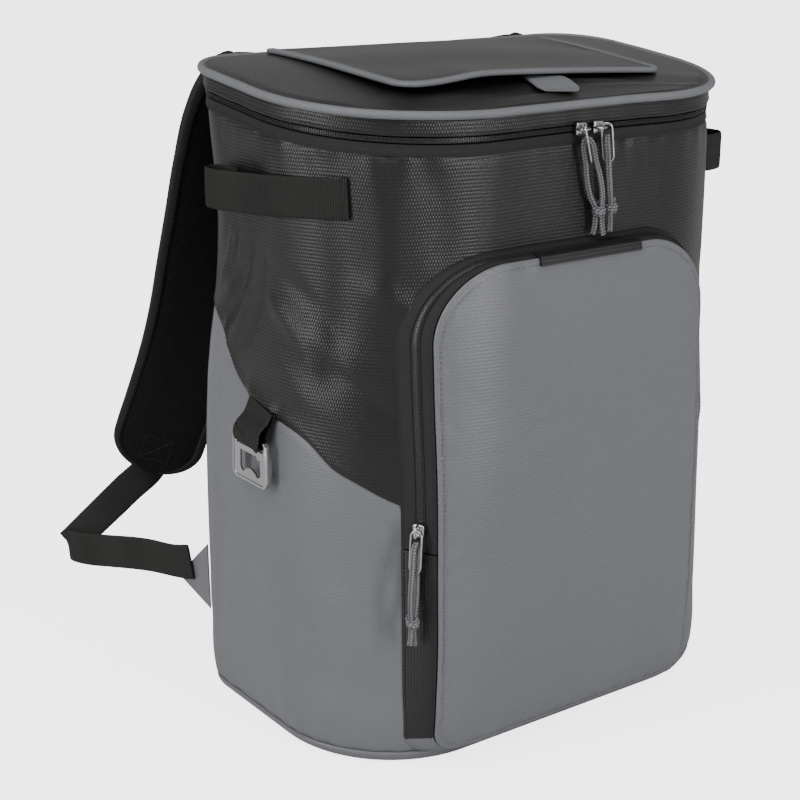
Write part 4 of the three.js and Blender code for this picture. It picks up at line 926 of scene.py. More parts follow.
class BAG_OT_lid(Builder, bpy.types.Operator):
    """Lid with its band, zip, piping and top"""
    bl_idname = "bag.lid"
    bl_label = "Lid"

    def build(self):
        self.s, self.column = self.form.round_trip()
        self.rim = self.form.rim_at(self.column)
        self.band()
        self.zip()
        self.piping()
        self.top()

    def ring(self, pick, profile):
        """Loops at columns from a profile of (drop from the rim, distance out)."""
        form = self.form
        column, rim = self.column[pick], self.rim[pick]
        rows = []
        for drop, grow in profile:
            p = form.outline(column, np.full(column.shape, form.z), grow)
            p[:, 2] = rim - drop
            rows.append(p)
        return np.stack(rows, 1)

    def band(self):
        profile = [(3.2, 0.6), (3.4, 1.5), (5.2, 1.9), (7.5, 1.7), (9.4, 1.9), (11.6, 1.9),
                   (12.7, 1.5), (12.9, 0.6), (12.7, -1.4), (3.4, -1.4)]
        rows = self.ring(slice(None), profile)
        wave = 0.16 * np.sin(self.s / 5.7 + 1.2 * np.sin(self.s / 29))
        out = unit(rows[:, 2] - rows[:, -1])
        rows[:, 1:7] += (out * wave[:, None])[:, None]
        band = skin("lid_side_band", rows, self.looks["dark"], closed=True)
        place(band, replaces=["lid_band"])

    def zip(self):
        form = self.form
        away = np.abs(form.outline(self.column, 0 * self.column + form.z)[:, 0])
        behind = form.outline(self.column, 0 * self.column + form.z)[:, 1] > 0
        hinge = (away < 0.71 * form.x) & behind
        order = np.argsort(np.mod(self.s + form.front, form.round))
        front = order[~hinge[order]]
        profile = [(17.6, 0.3), (18.0, 0.75), (20.2, 0.6), (22.4, 0.75), (24.2, 0.9), (25.0, 0.6),
                   (25.1, -0.4), (24.6, -2.0), (18.0, -2.0)]
        tape = skin("lid_zip_lower_tape", self.ring(front, profile), self.looks["tape"])
        place(tape, replaces=["lid_zip_tape"])
        core = [(13.5, -0.4), (13.7, 0.35), (15.25, 0.55), (16.8, 0.35), (17.0, -0.4),
                (16.6, -1.4), (13.9, -1.4)]
        strip = skin("lid_zip_core", self.ring(front, core), self.looks["teeth"])
        place(strip, replaces=["lid_zip_teeth"])
        out = form.out(self.column[front], np.full(len(front), form.z))
        for name, drop, slant in (("lid_zip_coil", 14.4, COIL_SLANT),
                                  ("lid_zip_coil_low", 16.1, -COIL_SLANT)):
            points = self.ring(front, [(drop, 0.6)])[:, 0]
            teeth = bars(name, [(points, out)], self.looks["teeth"], COIL_PITCH,
                         (0.75, 2.1, 0.9), slant)
            place(teeth)
        stitch_low = self.ring(front, [(23.2, 1.05)])[:, 0]
        stitch_band = self.ring(slice(None), [(11.2, 2.1)])[:, 0]
        every = form.out(self.column, np.full(ROUND, form.z))
        rows = [(stitch_low, out), (stitch_band, every)]
        stitches = bars("lid_stitches", rows, self.looks["dark_thread"], self.sizes.stitch * 1000,
                        (2.2, 0.5, 0.4))
        place(stitches)
        middle = np.where(hinge)[0]
        round_back = np.mod(self.s[middle] + form.front + form.round / 2, form.round)
        middle = middle[np.argsort(round_back)]
        back = [(13.5, 0.1), (13.9, 0.6), (17, 1.0), (21, 1.1), (24.6, 0.7), (25.1, 0.1),
                (24.8, -2.0), (13.8, -2.0)]
        hinge_rows = self.ring(middle, back)
        cloth = skin("lid_hinge_cloth", hinge_rows, self.looks["dark"])
        place(cloth, replaces=["lid_hinge"])

    def piping(self):
        form = self.form
        radius = self.sizes.piping * 1000
        path = form.outline(self.column, np.full(ROUND, form.z), 3.1)
        path[:, 2] = self.rim - 0.4 + 0.25 * ripple(5, 22, ROUND)
        welt = tube("lid_welt", path, radius, self.looks["trim"], 16, True)
        place(welt, replaces=["lid_piping"])

    def top(self):
        form = self.form
        shares = np.concatenate([np.linspace(0.012, 0.9, 44), np.linspace(0.92, 1, 9)])
        edge = form.outline(self.column, np.full(ROUND, form.z), 0.9)
        rows = []
        for share in shares:
            p = edge * [share, share, 0]
            x, y = p[:, 0], p[:, 1]
            z = form.lid_top(x, y) + self.relief(x, y, share)
            rows.append(np.stack([x, y, z], 1))
        below = []
        for share in (1, 0.012):
            p = edge * [share, share, 0]
            below.append(np.stack([p[:, 0], p[:, 1], form.lid_top(p[:, 0], p[:, 1]) - 4.5], 1))
        rows = np.stack(rows + below)
        top = skin("lid_cloth", rows, self.looks["dark"], flat_uv(rows, [0, 1]))
        place(top, replaces=["lid_panel"])

    def relief(self, x, y, share):
        form = self.form
        fade = ease((1 - share) / 0.06)
        waves = 0.8 * np.sin(x / 17 + y / 11) * np.exp(-((y + 0.72 * form.y) / 20) ** 2)
        folds = 0
        for height, line_y, slope, start, thick, middle, reach in LID_FOLDS:
            off = (y - line_y + slope * (x - start)) / thick
            folds = folds + height * np.exp(-off ** 2 - ((x - middle) / reach) ** 2)
        sink = -1.0 * (1 - ease((1 - share) / 0.05))
        return (waves + folds) * fade + sink


class BAG_OT_flap(Builder, bpy.types.Operator):
    """Flap sewn on the lid, with its bound edge and pull tab"""
    bl_idname = "bag.flap"
    bl_label = "Lid flap"

    def edge(self, inset, count=40):
        """Edge from the back left round the front to the back right."""
        form = self.form
        half = FLAP["half"] * form.x - inset
        front = FLAP["front"] * form.y + inset
        back = FLAP["back"] * form.y
        r = FLAP["corner"] - inset
        forward = np.linspace(back, front + r, count, endpoint=False)
        side = np.stack([np.full(count, -half), forward], 1)
        a = np.linspace(0, math.pi / 2, 14, endpoint=False)
        corner = np.stack([-half + r - r * np.cos(a), front + r - r * np.sin(a)], 1)
        run = np.stack([np.linspace(-half + r, 0, count), np.full(count, front)], 1)
        left = np.concatenate([side, corner, run])
        return np.concatenate([left, left[-2::-1] * [-1, 1]])

    def build(self):
        form, looks = self.form, self.looks
        thick = 2.2
        inner = self.edge(3.0)
        across = np.linspace(1, 0, 42)[1:-1]
        back = np.stack([inner[-1, 0] + (inner[0, 0] - inner[-1, 0]) * (1 - across),
                         np.full(len(across), inner[0, 1])], 1)
        ring = np.concatenate([inner, back])
        hub = np.array([0, (FLAP["front"] + FLAP["back"]) * form.y / 2])
        shares = np.concatenate([np.linspace(0.02, 0.9, 26), [0.94, 0.97, 0.99, 1]])
        rows = []
        for share in shares:
            p = hub + (ring - hub) * share
            rows.append(form.flap(p[:, 0], p[:, 1], thick + self.relief(p[:, 0], p[:, 1], share)))
        for share in (1, 0.6, 0.02):
            p = hub + (ring - hub) * share
            rows.append(form.flap(p[:, 0], p[:, 1], 0.2 + 0 * p[:, 0]))
        rows = np.stack(rows)
        cloth = skin("flap_cloth", rows, looks["dark"], flat_uv(rows, [0, 1]))
        place(cloth, replaces=["lid_flap"])
        self.binding()
        self.tab()
        self.stitches()

    def relief(self, x, y, share):
        fade = ease((1 - share) / 0.1)
        return fade * (0.5 * np.sin(x / 31 + y / 40) + 0.35 * np.sin(y / 13 + x / 60))

    def binding(self):
        form = self.form
        path = self.edge(2.6)
        outward = unit(np.gradient(path, axis=0))[:, ::-1] * [-1, 1]
        rows = []
        for angle in np.linspace(0, 2 * math.pi, 16, endpoint=False):
            off, rise = rounded(angle, (0.7, 0.7))
            p = path - outward * (2.9 * off)
            rows.append(form.flap(p[:, 0], p[:, 1], np.full(len(p), 1.3 + 1.75 * rise)))
        binding = skin("flap_edge_binding", np.stack(rows, 1), self.looks["trim"])
        place(binding, replaces=["flap_binding"])

    def tab(self):
        form = self.form
        t = np.linspace(0, 1, 60)
        x = 5 - 12 * t
        y = FLAP["front"] * form.y + 5 - 31 * t
        z = form.lid_top(x, y) + 1.6 + 0.9 * ease(t / 0.5)
        path = np.stack([x, y, z], 1)
        side = np.tile([1, -0.12, 0.0], (60, 1))
        width = np.interp(t, [0, 0.82, 0.95, 1], [28, 28, 25.5, 23])
        along = unit(np.gradient(path, axis=0))
        side = unit(side - along * (side * along).sum(1, keepdims=True))
        up = np.cross(along, side)
        rows = []
        for angle in np.linspace(0, 2 * math.pi, 40, endpoint=False):
            across, rise = rounded(angle, (0.25, 0.5))
            rows.append(path + side * (width / 2 * across)[:, None] + up * (1.15 * rise))
        tab = skin("flap_pull_tab", np.stack(rows, 1), self.looks["trim"])
        place(tab, replaces=["flap_tab"])

    def stitches(self):
        form = self.form
        line = self.edge(4.6)
        points = form.flap(line[:, 0], line[:, 1], np.full(len(line), 3.0))
        up = np.array([0, 0, 1.0])
        row = bars("flap_stitches", [(points, up)], self.looks["gray_thread"], 3.0, (2.1, 0.5, 0.4))
        place(row)


POCKET_JOIN = 0.012  # half the gap between neighbours on the gusset, in columns


class BAG_OT_pocket(Builder, bpy.types.Operator):
    """Front pocket: panel, gusset, zip, strips and topstitching"""
    bl_idname = "bag.pocket"
    bl_label = "Front pocket"

    def strip(self, low, high, first, last, profile, count):
        """Band on the gusset: profile is (share across between low and high, distance out)."""
        index = np.linspace(first, last, count)
        rows = []
        for share, out in profile:
            across = np.full(count, low + (high - low) * share)
            rows.append(self.form.gusset(index, across, np.full(count, out))[0])
        return np.stack(rows, 1)

    def build(self):
        looks = self.looks
        end, low = POCKET_STRIP_END + POCKET_JOIN, POCKET_BOTTOM_END + POCKET_JOIN
        gap = 2 * POCKET_JOIN
        flat = [(0, 0.1), (0.06, 0.5), (0.3, 0.7), (0.6, 0.8), (0.94, 0.55), (1, 0.1),
                (0.98, -2), (0.02, -2)]
        tape = [(0, 0.0), (0.08, 0.3), (0.5, 0.45), (0.92, 0.3), (1, 0.0), (0.98, -1.9),
                (0.02, -1.9)]
        for name, edges, look, slot, node in (
                ("pocket_outer_tape", (0, 0.42), "tape", "zip_tape", "pocket_zip_outer_tape"),
                ("pocket_inner_tape", (0.69, 1), "tape", "zip_tape", "pocket_zip_inner_tape"),
                ("pocket_zip_core", (0.43, 0.68), "teeth", "zip_teeth", "pocket_zip_teeth")):
            rows = self.strip(*edges, end, POCKET_TURN - end, tape, 420)
            place(skin(name, rows, looks[look]), replaces=[node])
        for side, first, last in (("left", low, end - gap),
                                  ("right", POCKET_TURN - end + gap, POCKET_TURN - low)):
            rows = self.strip(0, 1, first, last, flat, 120)
            piece = skin("pocket_strip_" + side, rows, looks["dark"])
            place(piece, replaces=["pocket_gusset_" + side])
        rows = self.strip(0, 1, gap - low, low - gap, flat, 160)
        below = skin("pocket_underside", rows, looks["gray"])
        place(below, replaces=["pocket_bottom"])
        self.teeth(end)
        self.panel()
        self.top_strip()
        self.stitches(end, low)

    def teeth(self, end):
        index = np.linspace(end, POCKET_TURN - end, 700)
        for name, across, slant in (("pocket_coil", 0.5, COIL_SLANT),
                                    ("pocket_coil_inner", 0.61, -COIL_SLANT)):
            points, normal = self.form.gusset(index, np.full(700, across), np.full(700, 0.55))
            row = bars(name, [(points, normal)], self.looks["teeth"], COIL_PITCH,
                       (0.75, 2.5, 0.9), slant)
            place(row)

    def face(self, share, index, behind):
        """Panel points at a share from its middle (0) to its edge (1)."""
        form = self.form
        middle = (POCKET_PANEL["top"] + POCKET_PANEL["bottom"]) * form.z / 2
        x, z = form.pocket(POCKET_PANEL, index)
        hub = POCKET_SHIFT * form.x
        px, pz = hub + (x - hub) * share, middle + (z - middle) * share
        fullest = POCKET_DEPTH["side"] + POCKET_DEPTH["bulge"]
        depth = fullest * (1 - share ** 4) + form.pocket_depth(z) * share ** 4
        return np.stack([px, form.wall_y(px, pz) - depth + behind, pz], -1)

    def panel(self):
        count = 640
        run = self.even_index(count)
        shares = np.concatenate([np.linspace(0.012, 0.86, 52), np.linspace(0.875, 0.985, 14)])
        rows = []
        for share in shares:
            p = self.face(share, run, 0)
            p[:, 1] -= self.relief(p[:, 0], p[:, 2], share, run)
            rows.append(p)
        for share, behind in ((0.994, 0.25), (0.999, 0.8), (1.0, 1.5), (0.997, 2.3), (0.85, 2.5),
                              (0.012, 2.5)):
            rows.append(self.face(share, run, behind))
        rows = np.stack(rows)
        panel = skin("pocket_cloth", rows, self.looks["gray"], flat_uv(rows, [0, 2]))
        place(panel, replaces=["pocket_panel"])

    def even_index(self, count):
        fine = np.linspace(0, 50, 4001)
        x, z = self.form.pocket(POCKET_PANEL, fine)
        run = run_of(np.stack([x, 0 * x, z], 1))
        self.edge_run = run[-1]
        return np.interp(np.linspace(0, run[-1], count, endpoint=False), run, fine)

    def relief(self, x, z, share, index):
        """Fabric relief of the panel: puckers at the topstitch, soft dents, slack at the bottom."""
        form = self.form
        edge_x, edge_z = form.pocket(POCKET_PANEL, index)
        middle = (POCKET_PANEL["top"] + POCKET_PANEL["bottom"]) * form.z / 2
        inset = (1 - share) * np.hypot(edge_x - POCKET_SHIFT * form.x, edge_z - middle)
        s = np.linspace(0, self.edge_run, len(index), endpoint=False)
        beat = np.sin(s / 3.3 + 1.4 * np.sin(s / 19)) + 0.7 * np.sin(s / 5.1 + 2.1 * np.sin(s / 41))
        pucker = 0.22 * beat * np.exp(-((inset - 5) / 4.5) ** 2)
        groove = -0.7 * np.exp(-((inset - 3.2) / 1.1) ** 2)
        roll = 0.35 * np.exp(-((inset - 1.2) / 0.9) ** 2)
        calm = ease(inset / 18)
        broad = 0.7 * np.sin(x / 44 + z / 83 + 0.5) + 0.5 * np.sin(z / 37 - x / 60)
        dents = 0.9 * np.exp(-((x + 60 - 0.1 * z) / 16) ** 2) * np.exp(-((z - 90) / 60) ** 2)
        dents -= 0.8 * np.exp(-((x - 40) / 24) ** 2 - ((z - 60) / 40) ** 2)
        dents -= 0.9 * np.exp(-((x + 80) / 12) ** 2 - ((z - 150) / 60) ** 2)
        return pucker + groove + roll + calm * (0.6 * broad + dents)

    def top_strip(self):
        form = self.form
        index = np.linspace(*POCKET_TOP_STRIP, 160)
        x, z = form.pocket(POCKET_PANEL, index)
        y = form.wall_y(x, z) - form.pocket_depth(z) - 0.5

        def on_gusset(across, out):
            return form.gusset(index, np.full(160, across), np.full(160, out))[0]

        lip = [(0.6, 1.3), (1.5, -0.4), (1.9, -2.4), (2.0, -4.4), (1.5, -4.7), (0.4, -4.4),
               (0.0, 0.3)]
        rows = [on_gusset(0.74, 0.9), on_gusset(0.9, 1.5),
                *(np.stack([x, y - out, z + up], 1) for out, up in lip),
                on_gusset(0.98, 0.45), on_gusset(0.74, 0.45)]
        strip = skin("pocket_top_binding", np.stack(rows, 1), self.looks["dark"])
        place(strip, replaces=["pocket_top_strip"])

    def stitches(self, end, low):
        run = self.even_index(640)
        run = np.append(run, run[:1])
        share = 0.974
        points = self.face(share, run, 0)
        points[:, 1] -= 0.1
        toward = np.array([0, -1.0, 0])
        top = bars("panel_stitches", [(points, toward)], self.looks["gray_thread"], 3.2,
                   (2.3, 0.5, 0.45))
        place(top)
        lines = []
        for first, last, count, edges, out in (
                (end, POCKET_TURN - end, 500, (0.07, 0.93), 0.55),
                (low, end - 0.1, 80, (0.08, 0.92), 0.85),
                (POCKET_TURN - end + 0.1, POCKET_TURN - low, 80, (0.08, 0.92), 0.85)):
            index = np.linspace(first, last, count)
            for across in edges:
                lines.append(self.form.gusset(index, np.full(count, across), np.full(count, out)))
        row = bars("gusset_stitches", lines, self.looks["dark_thread"], 3.0, (2.1, 0.45, 0.35))
        place(row)


class BAG_OT_handles(Builder, bpy.types.Operator):
    """Side handles of ribbed webbing, sewn at both ends"""
    bl_idname = "bag.handles"
    bl_label = "Side handles"

    def build(self):
        form = self.form
        width = self.sizes.webbing * 1000
        thick = self.sizes.webbing_thick * 1000
        for name, side, shares, sewn in (("left", -1, HANDLE_LEFT, 0.17),
                                         ("right", 1, HANDLE_RIGHT, 0.03)):
            seen = np.column_stack([shares * [-form.x, form.y], np.zeros(len(shares))])
            path = spaced(seen, WEBBING_STEP)
            n = len(path)
            z = np.interp(np.arange(n) / n, [0, 0.64, 1], [0.856, 0.846, 0.846]) * form.z
            path[:, 2] = z
            half, front, _, front_r, _ = form.section(z, thick / 2 + 0.45)
            cx, cy = half - front_r, front + front_r
            dx, dy = np.abs(path[:, 0]) - cx, path[:, 1] - cy
            away = np.hypot(dx, dy)
            past_sewn = (np.arange(n) / n - sewn) / (0.07 + 0.8 * sewn)
            hug = np.where(away < front_r, 1, 1 - ease(past_sewn))
            hug[dy > 0] = 0
            path[:, 0] += hug * (-(cx + dx * front_r / away) - path[:, 0])
            path[:, 1] += hug * (cy + dy * front_r / away - path[:, 1])
            path = spaced(path[::14], WEBBING_STEP)
            path[:, 0] *= -side
            up = np.tile([0, 0, 1.0], (len(path), 1))
            band = ribbon("handle_" + name, path, up, width, thick, self.looks["webbing"])
            place(band, replaces=["side_handle_" + name])
            self.stitches(name, path, width, thick)

    def stitches(self, name, path, width, thick):
        along = unit(np.gradient(path, axis=0))
        out = np.cross(along, [0, 0, 1.0])
        if (out[:20] * path[:20] * [1, 1, 0]).sum() < 0:
            out = -out
        across = np.linspace(-0.46, 0.46, 20)[:, None] * [0, 0, width]
        lines = [(path[k] + out[k] * (thick / 2 + 0.15) + across, out[k]) for k in (7, 12)]
        row = bars("handle_stitches_" + name, lines, self.looks["dark_thread"], 2.4,
                   (1.9, 0.5, 0.45))
        place(row)


class BAG_OT_straps(Builder, bpy.types.Operator):
    """Shoulder straps: padded mesh, twill binding, adjuster, lower webbing and side tab"""
    bl_idname = "bag.straps"
    bl_label = "Shoulder straps"

    def build(self):
        for side, mirror in (("left", 1), ("right", -1)):
            self.mirror = mirror
            self.side = side
            self.frames()
            self.pad()
            self.binding()
            self.lower()
            self.tab()
            clip = soft_copy("strap_adjuster_" + side, "adjuster_" + side,
                             self.looks["plastic"], 0.5)
            place(clip, replaces=["strap_adjuster_" + side])

    def frames(self):
        form = self.form
        across = unit(STRAP[:, 3:])
        middle = STRAP[:, :3] * [form.x, form.y, form.z]
        middle = middle + across * self.sizes.pad_width * 500
        line = spaced(np.concatenate([middle, across], 1), 1.0)
        at, turn = line[:, :3], line[:, 3:]
        along = unit(np.gradient(at, axis=0))
        turn = unit(turn - along * (turn * along).sum(1, keepdims=True))
        off = np.cross(turn, along)
        flip = np.array([self.mirror, 1, 1])
        self.run = run_of(at)
        self.line = np.concatenate([at * flip, along * flip, turn * flip, off * flip], 1)
        self.length = self.run[-1]

    def at(self, run, across, off):
        run, across, off = np.broadcast_arrays(run, across, off)
        flat = [np.interp(run.ravel(), self.run, value).reshape(run.shape)
                for value in self.line.T]
        p, turn, out = (np.stack(flat[k:k + 3], -1) for k in (0, 6, 9))
        return p + turn * across[..., None] + out * off[..., None]

    def pad(self):
        width = self.sizes.pad_width * 500
        thick = self.sizes.pad_thick * 500
        core = width - 2.6
        end = self.length - width
        tip = end + core * np.sin(np.linspace(0, 1.5, 40)[1:])
        runs = np.concatenate([np.linspace(0, end, 250), tip])
        half = np.where(runs <= end, core, np.sqrt(np.maximum(1, core ** 2 - (runs - end) ** 2)))
        a = np.linspace(-1, 1, 25)
        crown = 1 - 0.55 * np.abs(a) ** 5
        soft = 1 + 0.035 * ripple(3, 26, len(runs))[:, None]
        top = self.at(runs[:, None], half[:, None] * a, thick * crown * soft)
        low = self.at(runs[:, None], half[:, None] * a[::-1], -thick * crown * soft)
        rows = np.concatenate([top, low], 1)
        u = np.concatenate([runs, [runs[-1]]])
        v = np.concatenate([a * core, a * core + 100, [core + 103]])
        uv = np.stack(np.meshgrid(u, v, indexing="ij"), -1)
        pad = skin("pad_" + self.side, rows, self.looks["mesh"], uv)
        place(pad, replaces=["strap_pad_" + self.side])
        self.cross_stitch(end, thick)

    def cross_stitch(self, end, thick):
        """Box of stitches with a cross in it. Corners are (across, past the end) in mm."""
        box = [(-11, -6), (11, -6), (11, 18), (-11, 18), (-11, -6), (11, 18)]
        t = np.linspace(0, 1, 24)
        lines = []
        for (a0, r0), (a1, r1) in [*zip(box, box[1:]), ((-11, 18), (11, -6))]:
            across, run = a0 + (a1 - a0) * t, end + r0 + (r1 - r0) * t
            points, middle = (self.at(run, across, off) for off in (-(thick + 0.1), 0.0))
            lines.append((points, unit(points - middle)))
        row = bars("pad_stitches_" + self.side, lines, self.looks["plastic"], 2.6, (2.1, 0.7, 0.7))
        place(row)

    def binding(self):
        width = self.sizes.pad_width * 500
        thick = self.sizes.pad_thick * 500
        end = self.length - width
        out = width - 3.6
        down = np.linspace(0, end, 260, endpoint=False)
        a = np.linspace(-math.pi / 2, math.pi / 2, 90)
        run = np.concatenate([down, end + out * np.cos(a), down[::-1]])
        across = np.concatenate([np.full(260, -out), out * np.sin(a), np.full(260, out)])
        turn_run = np.concatenate([0 * down, np.cos(a), 0 * down])
        turn_across = np.concatenate([0 * down - 1, np.sin(a), 0 * down + 1])
        pinch = 1 + 0.05 * ripple(9, 12, len(run))
        rows = []
        for q in np.linspace(0, 2 * math.pi, 18, endpoint=False):
            w, h = rounded(q, (0.75, 0.65))
            h = thick * 0.92 * h * (0.78 if w > 0 else 1.0) * pinch
            rows.append(self.at(run + turn_run * 3.8 * w, across + turn_across * 3.8 * w, h))
        binding = skin("pad_binding_" + self.side, np.stack(rows, 1), self.looks["binding"])
        place(binding, replaces=["strap_binding_" + self.side])

    def lower(self):
        form = self.form
        width = self.sizes.webbing * 1000
        thick = self.sizes.webbing_thick * 1000
        end = self.length - self.sizes.pad_width * 500
        flip = np.array([self.mirror, 1, 1])
        seat = self.at(end, 0.0, self.sizes.pad_thick * 500 + 4.6)
        along = np.array([np.interp(end, self.run, self.line[:, k]) for k in (3, 4, 5)])
        turn = np.array([np.interp(end, self.run, self.line[:, k]) for k in (6, 7, 8)])
        fold = np.array([-1.057 * form.x, 2.84 * form.y, 0.0955 * form.z]) * flip
        fold_side = np.array([0, -0.69, -0.72])
        rows = [(seat + along * t, turn) for t in (-24, -8, 8, 24, 40)]
        leave = seat + along * 40
        rows += [(leave + (fold - leave) * t, turn + (fold_side - turn) * t)
                 for t in (0.3, 0.6, 0.85, 0.95, 0.985, 1)]
        first = np.array([np.concatenate(r) for r in rows])
        back = np.array([
            (-1.061 * form.x, 2.835 * form.y, 0.0965 * form.z, 0, -0.69, -0.72),
            (-1.063 * form.x, 2.81 * form.y, 0.0975 * form.z, 0, -0.69, -0.72),
            (-1.062 * form.x, 2.72 * form.y, 0.101 * form.z, 0, -0.67, -0.74),
            (-1.055 * form.x, 2.5 * form.y, 0.113 * form.z, 0, -0.62, -0.78),
            (-1.035 * form.x, 2.2 * form.y, 0.132 * form.z, 0, -0.55, -0.83),
            (-1 * form.x, 1.65 * form.y, 0.165 * form.z, 0, -0.35, -0.93),
            (-0.976 * form.x, 1.27 * form.y, 0.182 * form.z, 0, 0.25, -0.96),
            (-0.9755 * form.x, 1.1 * form.y, 0.195 * form.z, 0, 0.45, -0.9),
        ])
        back[:, 0] *= self.mirror
        line = spaced(np.concatenate([first, back]), 0.4)
        band = ribbon("strap_webbing_" + self.side, line[:, :3], unit(line[:, 3:]), width, thick,
                      self.looks["webbing"])
        place(band, replaces=["lower_webbing_" + self.side])

    def tab(self):
        form = self.form
        flip = np.array([self.mirror, 1, 1])
        corners = np.array([(-0.96 * form.x, 0.885 * form.y, 0.243 * form.z),
                            (-0.96 * form.x, 1.32 * form.y, 0.154 * form.z),
                            (-0.96 * form.x, 0.873 * form.y, 0.13 * form.z)])
        t = np.linspace(0, 1, 40, endpoint=False)[:, None]
        following = np.roll(corners, -1, 0)
        ring = np.concatenate([a + (b - a) * t for a, b in zip(corners, following)])
        middle = corners.mean(0)
        rows = []
        for share, off in ((0.04, 0.3), (0.5, 0.2), (0.9, 0.05), (0.985, 0.15), (1.0, 0.5),
                           (1.0, 0.95), (0.985, 1.25), (0.9, 1.1), (0.5, 1.15), (0.04, 1.2)):
            p = middle + (ring - middle) * share
            p[:, 0] -= off
            rows.append(p * flip)
        rows = np.stack(rows)
        uv = np.concatenate([rows, rows[:1]])[:, :, 1:]
        uv = np.concatenate([uv, uv[:, :1]], 1)
        tab = skin("side_wedge_" + self.side, rows, self.looks["gray"], uv)
        place(tab, replaces=["side_tab_" + self.side])


# Middle of the opener's bar: shares of the bag's depth and height, and distance from the wall
OPENER_SIDE, OPENER_HEIGHT, OPENER_OFF = 0.08, 0.4815, 8.5
LOOP_RADIUS = 3.5  # of the webbing's turn round the bar


class BAG_OT_opener(Builder, bpy.types.Operator):
    """Bottle opener and the webbing loop that it swings in"""
    bl_idname = "bag.opener"
    bl_label = "Bottle opener"

    def build(self):
        form = self.form
        plate = soft_copy("bottle_opener", "opener_plate", self.looks["metal"], 0.28, 3)
        place(plate, "opener", ["bottle_opener"])
        z = OPENER_HEIGHT * form.z
        c = np.array([-float(form.section(z)[0]) - OPENER_OFF, OPENER_SIDE * form.y, z])
        r = LOOP_RADIUS
        thick = self.sizes.webbing_thick * 1000
        top = c[2] + 23
        wall = -float(form.section(top)[0]) - 0.35 - thick
        a = math.pi + np.linspace(0, math.pi, 9)
        turn = np.stack([c[0] + r * np.cos(a), 0 * a + c[1], c[2] + r * np.sin(a)], 1)
        down = [(wall - 1.6, c[1] - 5, top), (wall - 4.6, c[1] - 3.4, c[2] + 15.5),
                (c[0] - r + 0.8, c[1] - 2, c[2] + 8), (c[0] - r, c[1] - 1.2, c[2] + 3)]
        up = [(c[0] + r, c[1] - 1.2, c[2] + 4), (wall - 0.6, c[1] - 2.8, c[2] + 15),
              (wall + 0.5, c[1] - 5, top)]
        path = np.concatenate([down, turn, up])
        path = spaced(path, WEBBING_STEP)
        side = np.tile([0, 1.0, 0], (len(path), 1))
        loop = ribbon("opener_webbing", path, side, 30, thick, self.looks["webbing"])
        place(loop, replaces=["opener_loop"])


# Pulls of the lid's zip: x of the slider, direction of the bail's width, and the knot by its
# x, drop from the rim and distance from the wall, in mm
LID_PULLS = (("lid_pull_left", -5.5, (-0.585, -0.81, 0), (7.5, 66, 8)),
             ("lid_pull_right", 8.5, (0.7, -0.714, 0), (17.5, 65, 8)))
SLIDER_DROP, SLIDER_OFF = 15.2, 2.3
# Bails: width, length and the cord's place along them, in mm
LID_BAIL, POCKET_BAIL = (6.6, 24, 10), (7.5, 27, 10)


